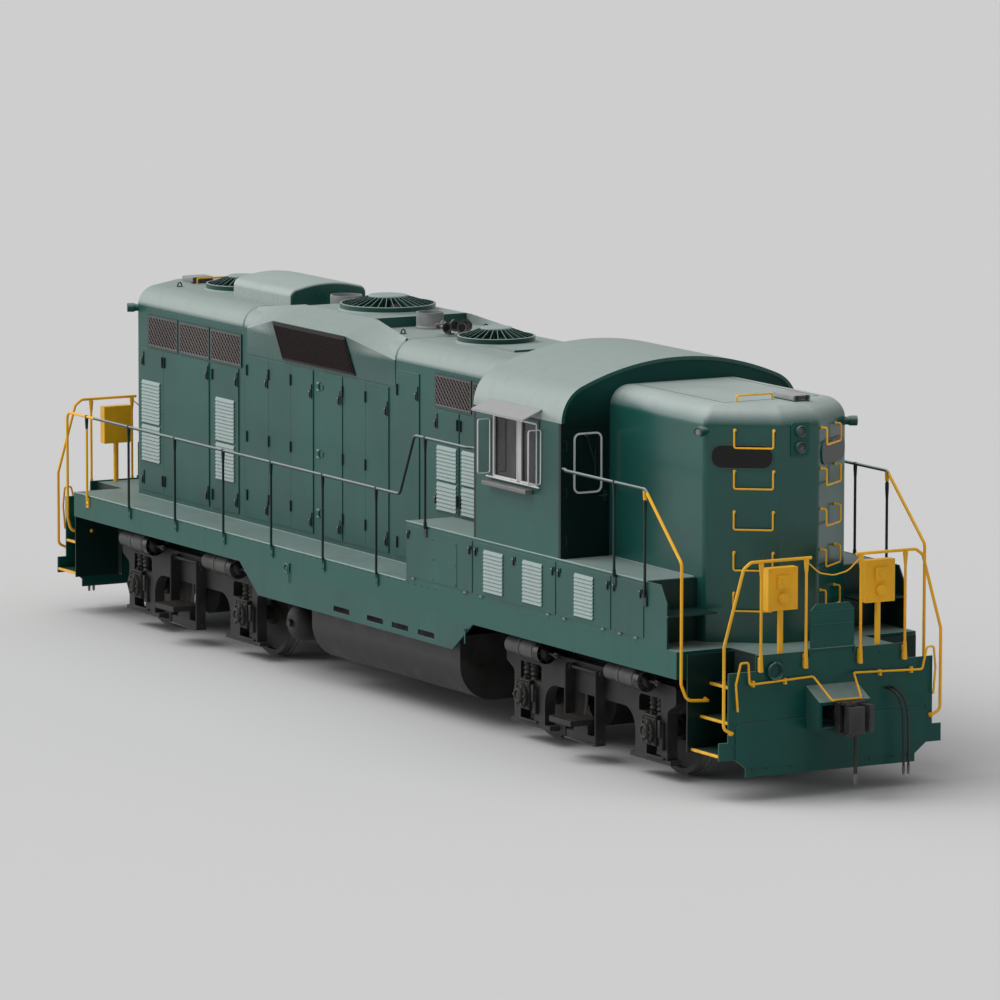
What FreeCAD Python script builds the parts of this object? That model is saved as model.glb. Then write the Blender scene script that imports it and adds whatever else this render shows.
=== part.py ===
import FreeCAD, Part
import Sketcher
import math
import os

# Diesel road-switcher locomotive with a high short hood, on two four-wheel trucks.
# Millimetres. +X runs towards the short-hood end, +Z up, and -Y is the driver's side.
# The origin is midway between the coupler faces, on the centre line, at the flange tips.

doc = FreeCAD.newDocument("diesel_locomotive")
sheet = doc.addObject("Spreadsheet::Sheet", "Sizes")
Vector = FreeCAD.Vector

# Driving dimensions
DIMENSIONS = {
    # lengths: the body's other places along X are measured on the design length
    "coupled_length": 17040,
    "design_length": 17040,
    "truck_centres": 9449,
    "wheelbase": 2743,
    "coupler_overhang": 660,
    "step_well": 695,
    "hood_past_sill": 20,
    "nose_bevel": 495,
    "hood_bevel": 535,
    # fits
    "seat_gap": 0.3,
    "running_gap": 8,
    # underframe
    "sill_width": 3040,
    "deck_top": 1565,
    "deck_plate": 20,
    "sill_depth": 300,
    "sill_plate": 25,
    "centre_sill_half": 330,
    "centre_sill_web": 40,
    "centre_sill_flange": 60,
    "centre_sill_low": 1130,
    "cross_bearer": 16,
    "body_bolster_half": 250,
    "pivot_radius": 380,
    "pivot_top": 1020,
    "platform_half": 850,
    "draft_box_half": 270,
    "draft_box_low": 700,
    "draft_slot_half": 110,
    # skirts
    "skirt_low": 920,
    "skirt_plate": 20,
    "skirt_rear": -2360,
    "skirt_rear_slope": -2830,
    "skirt_front": 2280,
    "skirt_front_slope": 2745,
    "skirt_slot_length": 380,
    "skirt_slot_height": 70,
    "skirt_slot_low": 975,
    "skirt_slot_round": 18,
    # fuel tank and air reservoirs
    "tank_rear": -1250,
    "tank_front": 2250,
    "tank_half": 1400,
    "tank_low": 300,
    "tank_top": 1060,
    "tank_round": 430,
    "tank_saddle": 80,
    "filler_radius": 45,
    "reservoir_radius": 225,
    "reservoir_half": 1100,
    "reservoir_dome": 150,
    "reservoir_height": 565,
    "reservoir_rear": -2320,
    "reservoir_front": -1640,
    "reservoir_web": 60,
    "reservoir_web_half": 280,
    "reservoir_nozzle": 45,
    # pilots
    "pilot_plate": 20,
    "pilot_low": 270,
    "pilot_low_half": 1070,
    "pilot_bevel_low": 365,
    "pilot_bevel_top": 470,
    "pilot_bevel_half": 1205,
    "pilot_flange_half": 1405,
    "pilot_flange_top": 665,
    "pilot_side_half": 1290,
    "pilot_shoulder": 1410,
    "pilot_upper_half": 950,
    "pilot_top": 1580,
    "plow_plate": 12,
    "plow_top": 860,
    "plow_cut": 50,
    "housing_depth": 280,
    "housing_half": 320,
    "housing_wall": 35,
    "housing_low": 740,
    "housing_front_top": 1060,
    "housing_back_top": 1210,
    # corner steps
    "tread_low": 530,
    "tread_rise": 350,
    "tread_edge": 1400,
    "tread_run": 115,
    "tread_plate": 14,
    "string_plate": 14,
    "string_back": 100,
    "string_edge": 1450,
    "string_low": 490,
    # couplers
    "coupler_height": 900,
    "coupler_head_half": 165,
    "coupler_head_back": 330,
    "shank_half": 70,
    "knuckle_reach": 190,
    "knuckle_side": 95,
    "knuckle_tall": 290,
    "knuckle_pin": 26,
    # drop steps
    "drop_step_half": 275,
    "drop_step_corner": 2015,
    "drop_step_top": 2080,
    "drop_step_plate": 12,
    "drop_step_pin": 5,
    "drop_step_barrel": 12,
    "drop_step_ahead": 10,
    # long hood
    "hood_half": 900,
    "hood_panel_half": 243,
    "hood_wall": 45,
    "hood_eave": 3900,
    "roof_top": 4140,
    "roof_round": 240,
    "roof_sheet": 30,
    "corner_round": 90,
    "door_low": 1640,
    "door_top": 3570,
    "door_gap": 4,
    "door_proud": 12,
    "engine_door_width": 545,
    "engine_doors_rear": -3775,
    "engine_doors_middle": -1945,
    "door_pin": 6,
    "door_barrel": 14,
    "louver_depth": 20,
    # screens of the long hood
    "screen_frame": 26,
    "screen_thick": 16,
    "screen_recess": 8,
    "screen_low": 3410,
    "screen_top": 3810,
    "rear_screen_inset": 295,
    "rear_screen_end": -3917,
    "front_screen_low": 3470,
    "front_screen_top": 3855,
    "front_screen_start": 779,
    "front_screen_end": 2520,
    # dynamic-brake housing
    "blister_rear": -3770,
    "blister_front": -150,
    "blister_full_rear": -2850,
    "blister_full_front": -1080,
    "blister_foot": 3600,
    "blister_start": 5,
    "blister_lean": 155,
    "blister_shoulder": 4090,
    "brake_deck_half": 620,
    "brake_deck_top": 4260,
    "brake_deck_rear": -2750,
    "brake_deck_front": -1180,
    "grille_thick": 14,
    # roof fans
    "brake_fan_radius": 564,
    "fan_radius": 450,
    "fan_ring_wall": 22,
    "fan_ring_tall": 80,
    "fan_cap_share": 0.42,
    "fan_cap_rise": 95,
    "fan_slat": 6,
    "fan_slat_deep": 26,
    "fan_slat_pitch": 105,
    "fan_hub_share": 0.25,
    "fan_shaft": 35,
    "fan_blade": 10,
    "fan_blade_wide": 150,
    "fan_rotor_drop": 70,
    "fan_rear": -5590,
    "fan_brake": -1960,
    "fan_front": 607,
    # winter hatch, stacks, horn and roof fittings
    "hatch_rear": -4890,
    "hatch_front": -3410,
    "hatch_half": 510,
    "hatch_side_top": 4360,
    "hatch_ridge": 4475,
    "hatch_round": 100,
    "hatch_crown_round": 1500,
    "hatch_sheet": 20,
    "front_stack": -950,
    "front_stack_radius": 160,
    "rear_stack": -2980,
    "rear_stack_radius": 190,
    "stack_top": 4330,
    "stack_wall": 18,
    "horn_place": -300,
    "horn_height": 4255,
    "vent_rear": 1100,
    "vent_front": 1600,
    "vent_half": 330,
    "vent_tall": 24,
    # engine
    "engine_rear": -3300,
    "engine_front": 900,
    "engine_half": 620,
    "engine_tall": 1500,
    # cab
    "cab_rear": 2770,
    "cab_front": 4694,
    "cab_half": 1520,
    "cab_low": 2250,
    "cab_wall": 50,
    "cab_floor_top": 2290,
    "cab_roof_edge": 3750,
    "cab_roof_corner": 4043,
    "cab_roof_slope": 0.402,
    "cab_roof_round": 430,
    "cab_crown_round": 3200,
    "cab_roof_sheet": 40,
    "cab_roof_lip": 12,
    "window_past_rear": 447,
    "window_short_of_front": 502,
    "window_low": 2998,
    "window_top": 3700,
    "window_post": 34,
    "window_frame": 34,
    "window_frame_proud": 10,
    "glass_thick": 8,
    "awning_reach": 230,
    "awning_top": 3850,
    "awning_low": 3750,
    "awning_sheet": 12,
    "armrest_low": 2900,
    "armrest_reach": 100,
    "wing_wide": 170,
    "wing_thick": 12,
    "cab_door_width": 540,
    "cab_door_top": 3700,
    "cab_door_thick": 40,
    "cab_door_edge": 1450,
    "cab_door_gap": 5,
    "cab_door_pin": 5,
    "cab_door_barrel": 11,
    "cab_door_hinge_out": 12,
    "end_window_low": 2980,
    "end_window_top": 3620,
    "end_window_half": 165,
    "end_window_round": 60,
    # side boxes under the cab and along the short hood
    "box_rear": 1218,
    "box_top": 2250,
    "box_step_back": 610,
    "box_plate_back": 205,
    "box_plate": 20,
    "box_plate_bevel": 130,
    "box_plate_drop": 200,
    "box_shelf": 1930,
    "box_panel_proud": 8,
    # lamps
    "lamp_height": 3770,
    "lamp_spread": 88,
    "lamp_radius": 62,
    "lamp_plate_half": 115,
    "board_half": 340,
    "board_low": 3455,
    "board_top": 3720,
    "board_thick": 14,
    "class_light_height": 3860,
    "class_light_radius": 55,
    "class_light_long": 120,
    # handrails and grab irons
    "rail_radius": 17,
    "side_rail_line": 1540,
    "side_rail_height": 2540,
    "high_rail_height": 3250,
    "post_foot": 1540,
    "foot_half": 60,
    "rail_foot_line": 1210,
    "rail_foot_height": 1040,
    "rail_foot_run": 45,
    "end_rail_ahead": 35,
    "end_rail_top": 2595,
    "end_rail_side": 1370,
    "grab_radius": 10,
    "grab_stand": 70,
    "rung_top": 3690,
    "rung_rise": 443,
    "rung_half": 211,
    "rung_drop": 185,
    "lever_radius": 12,
    "lever_ahead": 45,
    "lever_height": 1275,
    "jumper_half": 185,
    "jumper_place": 615,
    "jumper_low": 2045,
    "jumper_top": 2505,
    "jumper_deep": 110,
    # wheels and axles
    "wheel_radius": 508,
    "flange": 25,
    "wheel_back": 680,
    "flange_thick": 32,
    "wheel_wide": 140,
    "rim_deep": 65,
    "plate_thick": 28,
    "hub_radius": 140,
    "axle_radius": 90,
    "journal_radius": 72,
    "journal_end": 1235,
    # truck frames
    "side_frame_inner": 1030,
    "side_frame_outer": 1160,
    "frame_top": 1070,
    "frame_reach": 1840,
    "frame_end_low": 870,
    "leg_outer": 290,
    "leg_inner": 390,
    "leg_low": 190,
    "tie_bar_top": 238,
    "tie_bar_inner": 500,
    "tie_bar_outer": 360,
    "arch_top": 720,
    "arch_round": 240,
    "pedestal_half": 150,
    "pedestal_top": 900,
    "spring_window_low": 715,
    "spring_window_inner": 311,
    "transom_place": 330,
    "transom_half": 50,
    "transom_low": 740,
    "transom_top": 940,
    # truck fittings
    "journal_inner": 1010,
    "journal_outer": 1225,
    "journal_tall_half": 150,
    "journal_cover": 40,
    "journal_cover_radius": 135,
    "journal_ring": 20,
    "journal_ring_radius": 88,
    "coil_radius": 62,
    "coil_turn": 30,
    "coil_place": 75,
    "bolster_half": 190,
    "bolster_low": 700,
    "bolster_top": 960,
    "swivel_plate": 365,
    "hanger_place": 330,
    "hanger_plate": 26,
    "hanger_out": 1275,
    "hanger_low": 205,
    "hanger_top": 1040,
    "plank_top": 310,
    "leaf_half": 236,
    "leaf_end": 1540,
    "leaf_top": 490,
    "leaf_thick": 60,
    "leaf_rib": 6,
    "brake_cylinder_line": 1300,
    "brake_cylinder_height": 1105,
    "brake_cylinder_radius": 125,
    "brake_cylinder_near": 700,
    "brake_cylinder_far": 1470,
    "brake_cap_long": 280,
    "brake_cap_radius": 102,
    # traction motors
    "motor_radius": 330,
    "motor_half": 500,
    "motor_back": 520,
    "motor_top": 860,
    "axle_cap_half": 130,
    "gear_case_radius": 235,
    "gear_case_inner": 530,
    "gear_case_outer": 640,
}

# Places worked out from the driving dimensions
PLACES = {
    "length_share": "coupled_length / design_length",
    "coupler_face": "coupled_length / 2",
    "truck_place": "truck_centres / 2 * length_share",
    "pilot_face": "coupler_face - coupler_overhang",
    "pilot_back": "pilot_face - pilot_plate",
    "sill_end": "pilot_face - step_well",
    "hood_end": "sill_end + hood_past_sill",
    "nose_corner": "hood_end - nose_bevel",
    "hood_corner": "hood_end - hood_bevel",
    "sill_half": "sill_width / 2",
    "sill_inner": "sill_half - sill_plate",
    "sill_low": "deck_top - sill_depth",
    "deck_low": "deck_top - deck_plate",
    "sill_flange_low": "centre_sill_low - sill_plate",
    "cab_ridge": "cab_roof_corner + cab_half * cab_roof_slope",
    "axle_height": "wheel_radius + flange",
    "hinge_height": "pilot_top + drop_step_barrel + 2",
}

row = 0
for name, number in DIMENSIONS.items():
    row += 1
    sheet.set("A%d" % row, name.replace("_", " "))
    sheet.set("B%d" % row, str(number))
    sheet.setAlias("B%d" % row, name)
for name, formula in PLACES.items():
    row += 1
    sheet.set("A%d" % row, name.replace("_", " "))
    sheet.set("B%d" % row, "=" + formula)
    sheet.setAlias("B%d" % row, name)
doc.recompute()


class Size:
    """A length that keeps the sheet expression it comes from beside its value."""

    def __init__(self, value, text):
        self.value = float(value)
        self.text = text

    def joined(self, sign, other, value):
        return Size(value, "(" + self.text + " " + sign + " " + other.text + ")")

    def __add__(self, other):
        other = size_of(other)
        return self.joined("+", other, self.value + other.value)

    def __radd__(self, other):
        return size_of(other) + self

    def __sub__(self, other):
        other = size_of(other)
        return self.joined("-", other, self.value - other.value)

    def __rsub__(self, other):
        return size_of(other) - self

    def __mul__(self, other):
        other = size_of(other)
        return self.joined("*", other, self.value * other.value)

    def __rmul__(self, other):
        return size_of(other) * self

    def __truediv__(self, other):
        other = size_of(other)
        return self.joined("/", other, self.value / other.value)

    def __neg__(self):
        return self * -1

    def __float__(self):
        return self.value


def size_of(number):
    """Take a plain number or a Size and give a Size."""
    if isinstance(number, Size):
        return number
    return Size(number, "(%.6f)" % number)


class Sheet:
    """Gives each named value of the sheet as a Size."""

    def __getattr__(self, name):
        return Size(sheet.get(name), "Sizes." + name)


s = Sheet()


def along(number):
    """A place along the body, which keeps its share of the coupled length."""
    return size_of(number) * s.length_share


nodes = {}
ENDS = (("front", 1), ("rear", -1))
SIDES = (-1, 1)


# Ways of making a piece
def ordered(ends):
    low, high = size_of(ends[0]), size_of(ends[1])
    return (low, high) if low.value <= high.value else (high, low)


def place(piece, x=0, y=0, z=0):
    for letter, number in (("x", x), ("y", y), ("z", z)):
        piece.setExpression("Placement.Base." + letter, size_of(number).text)


def box(x, y, z):
    """A block between two places on each axis."""
    piece = doc.addObject("Part::Box", "Block")
    lows = []
    for prop, ends in (("Length", x), ("Width", y), ("Height", z)):
        low, high = ordered(ends)
        piece.setExpression(prop, (high - low).text)
        lows.append(low)
    place(piece, *lows)
    return piece


AXIS_TURNS = {
    "X": FreeCAD.Rotation(Vector(0, 0, 1), Vector(1, 0, 0)),
    "Y": FreeCAD.Rotation(Vector(0, 0, 1), Vector(0, 1, 0)),
    "Z": FreeCAD.Rotation(),
}


def rod(axis, across, ends, radius):
    """A round bar along an axis, at two places across it, in X, Y, Z order."""
    piece = doc.addObject("Part::Cylinder", "Rod")
    piece.Placement = FreeCAD.Placement(Vector(), AXIS_TURNS[axis])
    low, high = ordered(ends)
    piece.setExpression("Height", (high - low).text)
    piece.setExpression("Radius", size_of(radius).text)
    at = list(across)
    at.insert("XYZ".index(axis), low)
    place(piece, *at)
    return piece


PLANES = {"X": "YZ_Plane", "Y": "XZ_Plane", "Z": "XY_Plane"}


def hold(sketch, geometry, corner, across, up):
    """Tie a point of a sketch to its two distances from the origin."""
    for kind, size in (("DistanceX", across), ("DistanceY", up)):
        held = sketch.addConstraint(Sketcher.Constraint(kind, -1, 1, geometry, corner, size.value))
        sketch.setExpression("Constraints[%d]" % held, size.text)


def outline_sketch(body, axis, outline):
    """A closed sketch on one of the body's planes, from corners (across, up) or
    (across, up, radius): a corner with a radius is rounded by a tangent arc."""
    sketch = body.newObject("Sketcher::SketchObject", "Outline")
    plane = [one for one in body.Origin.OriginFeatures if one.Role == PLANES[axis]][0]
    sketch.AttachmentSupport = [(plane, "")]
    sketch.MapMode = "FlatFace"
    corners = [[size_of(number) for number in corner] for corner in outline]
    points = [Vector(corner[0].value, corner[1].value, 0) for corner in corners]
    count = len(corners)
    reached, left = [], []
    for number, corner in enumerate(corners):
        point = points[number]
        before = (points[number - 1] - point).normalize()
        after = (points[(number + 1) % count] - point).normalize()
        reach = corner[2].value / math.tan(before.getAngle(after) / 2) if len(corner) == 3 else 0
        reached.append(point + before * reach)
        left.append(point + after * reach)
    for number in range(count):
        sketch.addGeometry(Part.LineSegment(left[number], reached[(number + 1) % count]), False)
    for number, corner in enumerate(corners):
        side_before, side_after = (number - 1) % count, number
        if len(corner) == 2:
            sketch.addConstraint(Sketcher.Constraint("Coincident", side_before, 2, side_after, 1))
            hold(sketch, side_after, 1, corner[0], corner[1])
            continue
        first, last, point = reached[number], left[number], points[number]
        inward = ((first + last) / 2 - point).normalize()
        half = (first - point).getAngle(last - point) / 2
        centre = point + inward * (corner[2].value / math.sin(half))
        angles = [math.atan2(spot.y - centre.y, spot.x - centre.x) for spot in (first, last)]
        sweep = (angles[1] - angles[0]) % (2 * math.pi)
        begins = 1 if sweep < math.pi else 2
        turn = min(sweep, 2 * math.pi - sweep)
        circle = Part.Circle(centre, Vector(0, 0, 1), corner[2].value)
        start = angles[begins - 1]
        arc = sketch.addGeometry(Part.ArcOfCircle(circle, start, start + turn), False)
        sketch.addConstraint(Sketcher.Constraint("Tangent", side_before, 2, arc, begins))
        sketch.addConstraint(Sketcher.Constraint("Tangent", arc, 3 - begins, side_after, 1))
        radius = sketch.addConstraint(Sketcher.Constraint("Radius", arc, corner[2].value))
        sketch.setExpression("Constraints[%d]" % radius, corner[2].text)
        apex = sketch.addGeometry(Part.Point(point), True)
        for side in (side_before, side_after):
            sketch.addConstraint(Sketcher.Constraint("PointOnObject", apex, 1, side))
        hold(sketch, apex, 1, corner[0], corner[1])
    return sketch


def prism(axis, outline, ends, rounds=()):
    """A padded outline along an axis. rounds: (radius, test of an edge), put on in turn."""
    body = doc.addObject("PartDesign::Body", "Profile")
    sketch = outline_sketch(body, axis, outline)
    low, high = ordered(ends)
    start = -high if axis == "Y" else low
    sketch.setExpression("AttachmentOffset.Base.z", start.text)
    pad = body.newObject("PartDesign::Pad", "Pad")
    pad.Profile = sketch
    pad.setExpression("Length", (high - low).text)
    body.Tip = pad
    for radius, test in rounds:
        body.recompute(True)
        sharp = body.Tip
        names = []
        for number, edge in enumerate(sharp.Shape.Edges, start=1):
            if test(edge):
                names.append("Edge%d" % number)
        rounded = body.newObject("PartDesign::Fillet", "Round")
        rounded.Base = (sharp, names)
        rounded.setExpression("Radius", size_of(radius).text)
        body.Tip = rounded
    return body


def lofted(axis, sections):
    """A ruled skin over outlines of the same number of corners, at places along an axis."""
    body = doc.addObject("PartDesign::Body", "Skin")
    sketches = []
    for outline, station in sections:
        sketch = outline_sketch(body, axis, outline)
        sketch.setExpression("AttachmentOffset.Base.z", size_of(station).text)
        sketches.append(sketch)
    loft = body.newObject("PartDesign::AdditiveLoft", "Loft")
    loft.Profile = sketches[0]
    loft.Sections = [(sketch, [""]) for sketch in sketches[1:]]
    loft.Ruled = True
    body.Tip = loft
    return body


def turned(axis, outline, centre):
    """A revolved outline, given as (radius, place along the axis), about an axis at a centre."""
    body = doc.addObject("PartDesign::Body", "Turned")
    if axis == "X":
        swapped = [[corner[1], corner[0]] + list(corner[2:]) for corner in outline]
        sketch = outline_sketch(body, "Z", swapped)
        about = "H_Axis"
    elif axis == "Y":
        sketch = outline_sketch(body, "Z", outline)
        about = "V_Axis"
    else:
        sketch = outline_sketch(body, "Y", outline)
        about = "V_Axis"
    spun = body.newObject("PartDesign::Revolution", "Spin")
    spun.Profile = sketch
    spun.ReferenceAxis = (sketch, [about])
    spun.Angle = 360
    body.Tip = spun
    place(body, *centre)
    return body


def group(pieces):
    """Solids that don't touch, or that share only a face, kept together."""
    together = doc.addObject("Part::Compound", "Group")
    together.Links = pieces
    return together


def fused(pieces):
    joined = doc.addObject("Part::MultiFuse", "Joined")
    joined.Shapes = pieces
    return joined


def cut(base, tools):
    piece = doc.addObject("Part::Cut", "Trimmed")
    piece.Base = base
    piece.Tool = tools[0] if len(tools) == 1 else group(tools)
    return piece


def set_at(piece, rotation, x=0, y=0, z=0):
    """A piece built at the origin, turned there and carried to its place."""
    holder = group([piece])
    holder.Placement = FreeCAD.Placement(Vector(), rotation)
    place(holder, x, y, z)
    return holder


def about_z(angle):
    return FreeCAD.Rotation(Vector(0, 0, 1), angle)


def node(name, piece):
    piece.Label = name
    nodes[name] = piece
    return piece


def bent_path(points, bend=None):
    """A wire of straight runs joined by arcs. Each arc's radius is bend, or the largest
    that keeps 45 % of the shorter run beside it. Gives the wire and the arcs' radii."""
    places = [Vector(*[float(number) for number in point]) for point in points]
    edges, radii = [], []
    start = places[0]
    for number in range(1, len(places) - 1):
        corner = places[number]
        before, after = places[number - 1] - corner, places[number + 1] - corner
        half = before.getAngle(after) / 2
        reach = 0.45 * min(before.Length, after.Length)
        if bend:
            reach = min(reach, bend / math.tan(half))
        radius = reach * math.tan(half)
        radii.append(radius)
        first = corner + before.normalize() * reach
        last = corner + after.normalize() * reach
        middle_way = (before + after).normalize()
        middle = corner + middle_way * (radius / math.sin(half) - radius)
        edges.append(Part.LineSegment(start, first).toShape())
        edges.append(Part.Arc(first, middle, last).toShape())
        start = last
    edges.append(Part.LineSegment(start, places[-1]).toShape())
    return Part.Wire(edges), radii


def tube(points, radius, bend=None):
    """A round bar swept along a bent path; its points and radius come from the sheet."""
    path, radii = bent_path(points, bend)
    start = Vector(*[float(number) for number in points[0]])
    along_first = Vector(*[float(number) for number in points[1]]) - start
    circle = Part.Wire([Part.Circle(start, along_first, float(radius)).toShape()])
    piece = doc.addObject("Part::Feature", "Bar")
    piece.Shape = path.makePipeShell([circle], True, False)
    return piece, path.Length, radii


def rail(points, radius, bend=60):
    return tube(points, radius, bend)[0]


gap = s.seat_gap

# Underframe: deck plate, side and centre sills, bearers, body bolsters and draft gear boxes
CROSS_BEARERS = (-2500, -1250, 0, 1250, 2500)
frame_pieces = [box((-s.sill_end, s.sill_end), (-s.sill_half, s.sill_half), (s.deck_low, s.deck_top))]
for side in SIDES:
    web_inner = s.centre_sill_half - s.centre_sill_web
    frame_pieces.append(box((-s.sill_end, s.sill_end), (side * s.sill_half, side * s.sill_inner),
                            (s.sill_low, s.deck_low)))
    frame_pieces.append(box((-s.sill_end, s.sill_end), (side * s.centre_sill_half, side * web_inner),
                            (s.centre_sill_low, s.deck_low)))
flange_half = s.centre_sill_half + s.centre_sill_flange
frame_pieces.append(box((-s.sill_end, s.sill_end), (-flange_half, flange_half),
                        (s.sill_flange_low, s.centre_sill_low)))
for share in CROSS_BEARERS:
    frame_pieces.append(box((along(share), along(share) + s.cross_bearer), (-s.sill_inner, s.sill_inner),
                            (s.sill_low, s.deck_low)))
for end, way in ENDS:
    centre = way * s.truck_place
    frame_pieces.append(box((centre - s.body_bolster_half, centre + s.body_bolster_half),
                            (-s.sill_inner, s.sill_inner), (s.sill_low, s.deck_low)))
    frame_pieces.append(rod("Z", (centre, 0), (s.pivot_top, s.sill_low + s.sill_plate), s.pivot_radius))
    frame_pieces.append(box((way * (s.sill_end - s.sill_plate), way * s.sill_end),
                            (-s.sill_inner, s.sill_inner), (s.sill_low, s.deck_low)))
    frame_pieces.append(box((way * s.sill_end, way * (s.pilot_back - gap)),
                            (-s.platform_half, s.platform_half), (s.deck_low, s.deck_top)))
    frame_pieces.append(box((way * s.sill_end, way * (s.pilot_back - gap)),
                            (-s.draft_box_half, s.draft_box_half), (s.draft_box_low, s.deck_low)))
shank_slots = []
shank_low = s.coupler_height - s.shank_half
shank_high = s.coupler_height + s.shank_half
for end, way in ENDS:
    shank_slots.append(box((way * (s.sill_end + s.sill_plate), way * s.pilot_face),
                           (-s.draft_slot_half, s.draft_slot_half), (shank_low - gap, shank_high + gap)))
node("underframe", cut(fused(frame_pieces), shank_slots))

# Side skirts: the deep plate below each side sill, with four slots
SLOT_STARTS = (-510, 290, 880, 1490)
skirt_outline = [
    (along(s.skirt_rear_slope), s.sill_low),
    (along(s.skirt_rear), s.skirt_low),
    (along(s.skirt_front), s.skirt_low),
    (along(s.skirt_front_slope), s.sill_low),
]
slot_high = s.skirt_slot_low + s.skirt_slot_height
skirts = []
for side in SIDES:
    inner = s.sill_half - s.skirt_plate
    plate = prism("Y", skirt_outline, (side * s.sill_half, side * inner))
    slots = []
    for start in SLOT_STARTS:
        first, last = along(start), along(start) + s.skirt_slot_length
        corners = ((first, s.skirt_slot_low), (last, s.skirt_slot_low), (last, slot_high), (first, slot_high))
        rounded = [(x, z, s.skirt_slot_round) for x, z in corners]
        slots.append(prism("Y", rounded, (side * (s.sill_half + gap), side * (inner - gap))))
    skirts.append(cut(plate, slots))
node("side_skirts", group(skirts))

# Fuel tank: a barrel-cornered box hung from the centre sill, with a filler at each side
tank_outline = [
    (-s.tank_half, s.tank_low, s.tank_round),
    (s.tank_half, s.tank_low, s.tank_round),
    (s.tank_half, s.tank_top),
    (-s.tank_half, s.tank_top),
]
tank_ends = (along(s.tank_rear), along(s.tank_front))
tank_pieces = [prism("X", tank_outline, tank_ends)]
for start in (tank_ends[0] + s.tank_saddle, tank_ends[1] - s.tank_saddle * 2):
    tank_pieces.append(box((start, start + s.tank_saddle), (-s.centre_sill_half, s.centre_sill_half),
                           (s.tank_top - s.tank_saddle, s.sill_flange_low - gap)))
for side in SIDES:
    tank_pieces.append(rod("Z", (tank_ends[0] + s.tank_saddle, side * (s.tank_half - s.tank_saddle)),
                           (s.tank_top - s.tank_saddle, s.sill_low - s.running_gap), s.filler_radius))
node("fuel_tank", fused(tank_pieces))

# Air reservoirs: two drums across the frame, each hung on a web below the centre sill
reservoirs = []
for x in (along(s.reservoir_rear), along(s.reservoir_front)):
    shell = turned("Y", [
        (0, -s.reservoir_half),
        (s.reservoir_radius, -s.reservoir_half, s.reservoir_dome),
        (s.reservoir_radius, s.reservoir_half, s.reservoir_dome),
        (0, s.reservoir_half),
    ], (x, 0, s.reservoir_height))
    nozzle_end = s.reservoir_half + s.reservoir_nozzle
    nozzle = rod("Y", (x, s.reservoir_height), (-nozzle_end, nozzle_end), s.reservoir_nozzle)
    web = box((x - s.reservoir_web / 2, x + s.reservoir_web / 2),
              (-s.reservoir_web_half, s.reservoir_web_half), (s.reservoir_height, s.sill_flange_low - gap))
    reservoirs.append(fused([shell, nozzle, web]))
node("air_reservoirs", group(reservoirs))

# Pilots: shouldered end plates with a plow plate, the coupler housing and the drop step's hinge
def both_halves(half_outline):
    """An outline in Y and Z from its right half, listed from the bottom up."""
    return half_outline + [(-corner[0], corner[1]) for corner in half_outline[::-1]]


pilot_outline = both_halves([
    (s.pilot_low_half, s.pilot_low),
    (s.pilot_low_half, s.pilot_bevel_low),
    (s.pilot_bevel_half, s.pilot_bevel_top),
    (s.pilot_flange_half, s.pilot_bevel_top),
    (s.pilot_flange_half, s.pilot_flange_top),
    (s.pilot_side_half, s.pilot_flange_top),
    (s.pilot_side_half, s.pilot_shoulder),
    (s.pilot_upper_half, s.pilot_shoulder),
    (s.pilot_upper_half, s.pilot_top),
])
plow_outline = both_halves([
    (s.pilot_low_half, s.pilot_bevel_low),
    (s.pilot_bevel_half - gap, s.pilot_bevel_top),
    (s.pilot_bevel_half - gap, s.plow_top - s.plow_cut),
    (s.pilot_bevel_half - s.plow_cut, s.plow_top),
])
pilots = []
for end, way in ENDS:
    face = s.pilot_face
    front = face + s.housing_depth
    plate = prism("X", pilot_outline, (way * face, way * s.pilot_back))
    plow = prism("X", plow_outline, (way * (face - s.plow_plate / 2), way * (face + s.plow_plate)))
    housing_outline = [
        (way * (face - s.pilot_plate / 2), s.housing_low),
        (way * front, s.housing_low),
        (way * front, s.housing_front_top),
        (way * (face - s.pilot_plate / 2), s.housing_back_top),
    ]
    housing = prism("Y", housing_outline, (-s.housing_half, s.housing_half))
    mouth_half = s.housing_half - s.housing_wall
    mouth = box((way * (s.pilot_back - gap), way * (front + gap)), (-mouth_half, mouth_half),
                (s.housing_low + s.housing_wall, s.housing_front_top - s.housing_wall))
    hinge_x = way * (face + s.drop_step_ahead)
    pin = rod("Y", (hinge_x, s.hinge_height), (-s.drop_step_half - 20, s.drop_step_half + 20), s.drop_step_pin)
    lugs = []
    for side in SIDES:
        lugs.append(box((way * (face - s.pilot_plate / 2), way * (face + s.drop_step_ahead * 2)),
                        (side * (s.drop_step_half + 1), side * (s.drop_step_half + 15)),
                        (s.pilot_top - 60, s.hinge_height + s.drop_step_barrel)))
    pilots.append(fused([cut(fused([plate, plow, housing]), [mouth]), pin] + lugs))
node("pilots", group(pilots))

# Corner steps: three treads between a back string and an inner string, each tread further in
steps = []
for end, way in ENDS:
    for side in SIDES:
        well = way * (s.sill_end + gap)
        string_front = s.sill_end + s.string_back + s.string_plate
        front = way * (s.pilot_back - gap)
        inner = s.platform_half + gap
        strings = [
            box((well, front), (side * inner, side * (inner + s.string_plate)), (s.string_low, s.deck_top)),
            box((way * (string_front - s.string_plate), way * string_front), (side * inner, side * s.string_edge),
                (s.string_low, s.deck_low)),
        ]
        treads = []
        for number in (0, 1, 2):
            level = s.tread_low + number * s.tread_rise
            edge = s.tread_edge - number * s.tread_run
            treads.append(box((way * string_front, front), (side * inner, side * edge),
                              (level - s.tread_plate, level)))
        steps.append(fused(strings + treads))
node("corner_steps", group(steps))

# Long hood: side walls with door panels and louvers, bevelled at its rear end
hood_front = along(s.cab_rear) - gap


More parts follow.
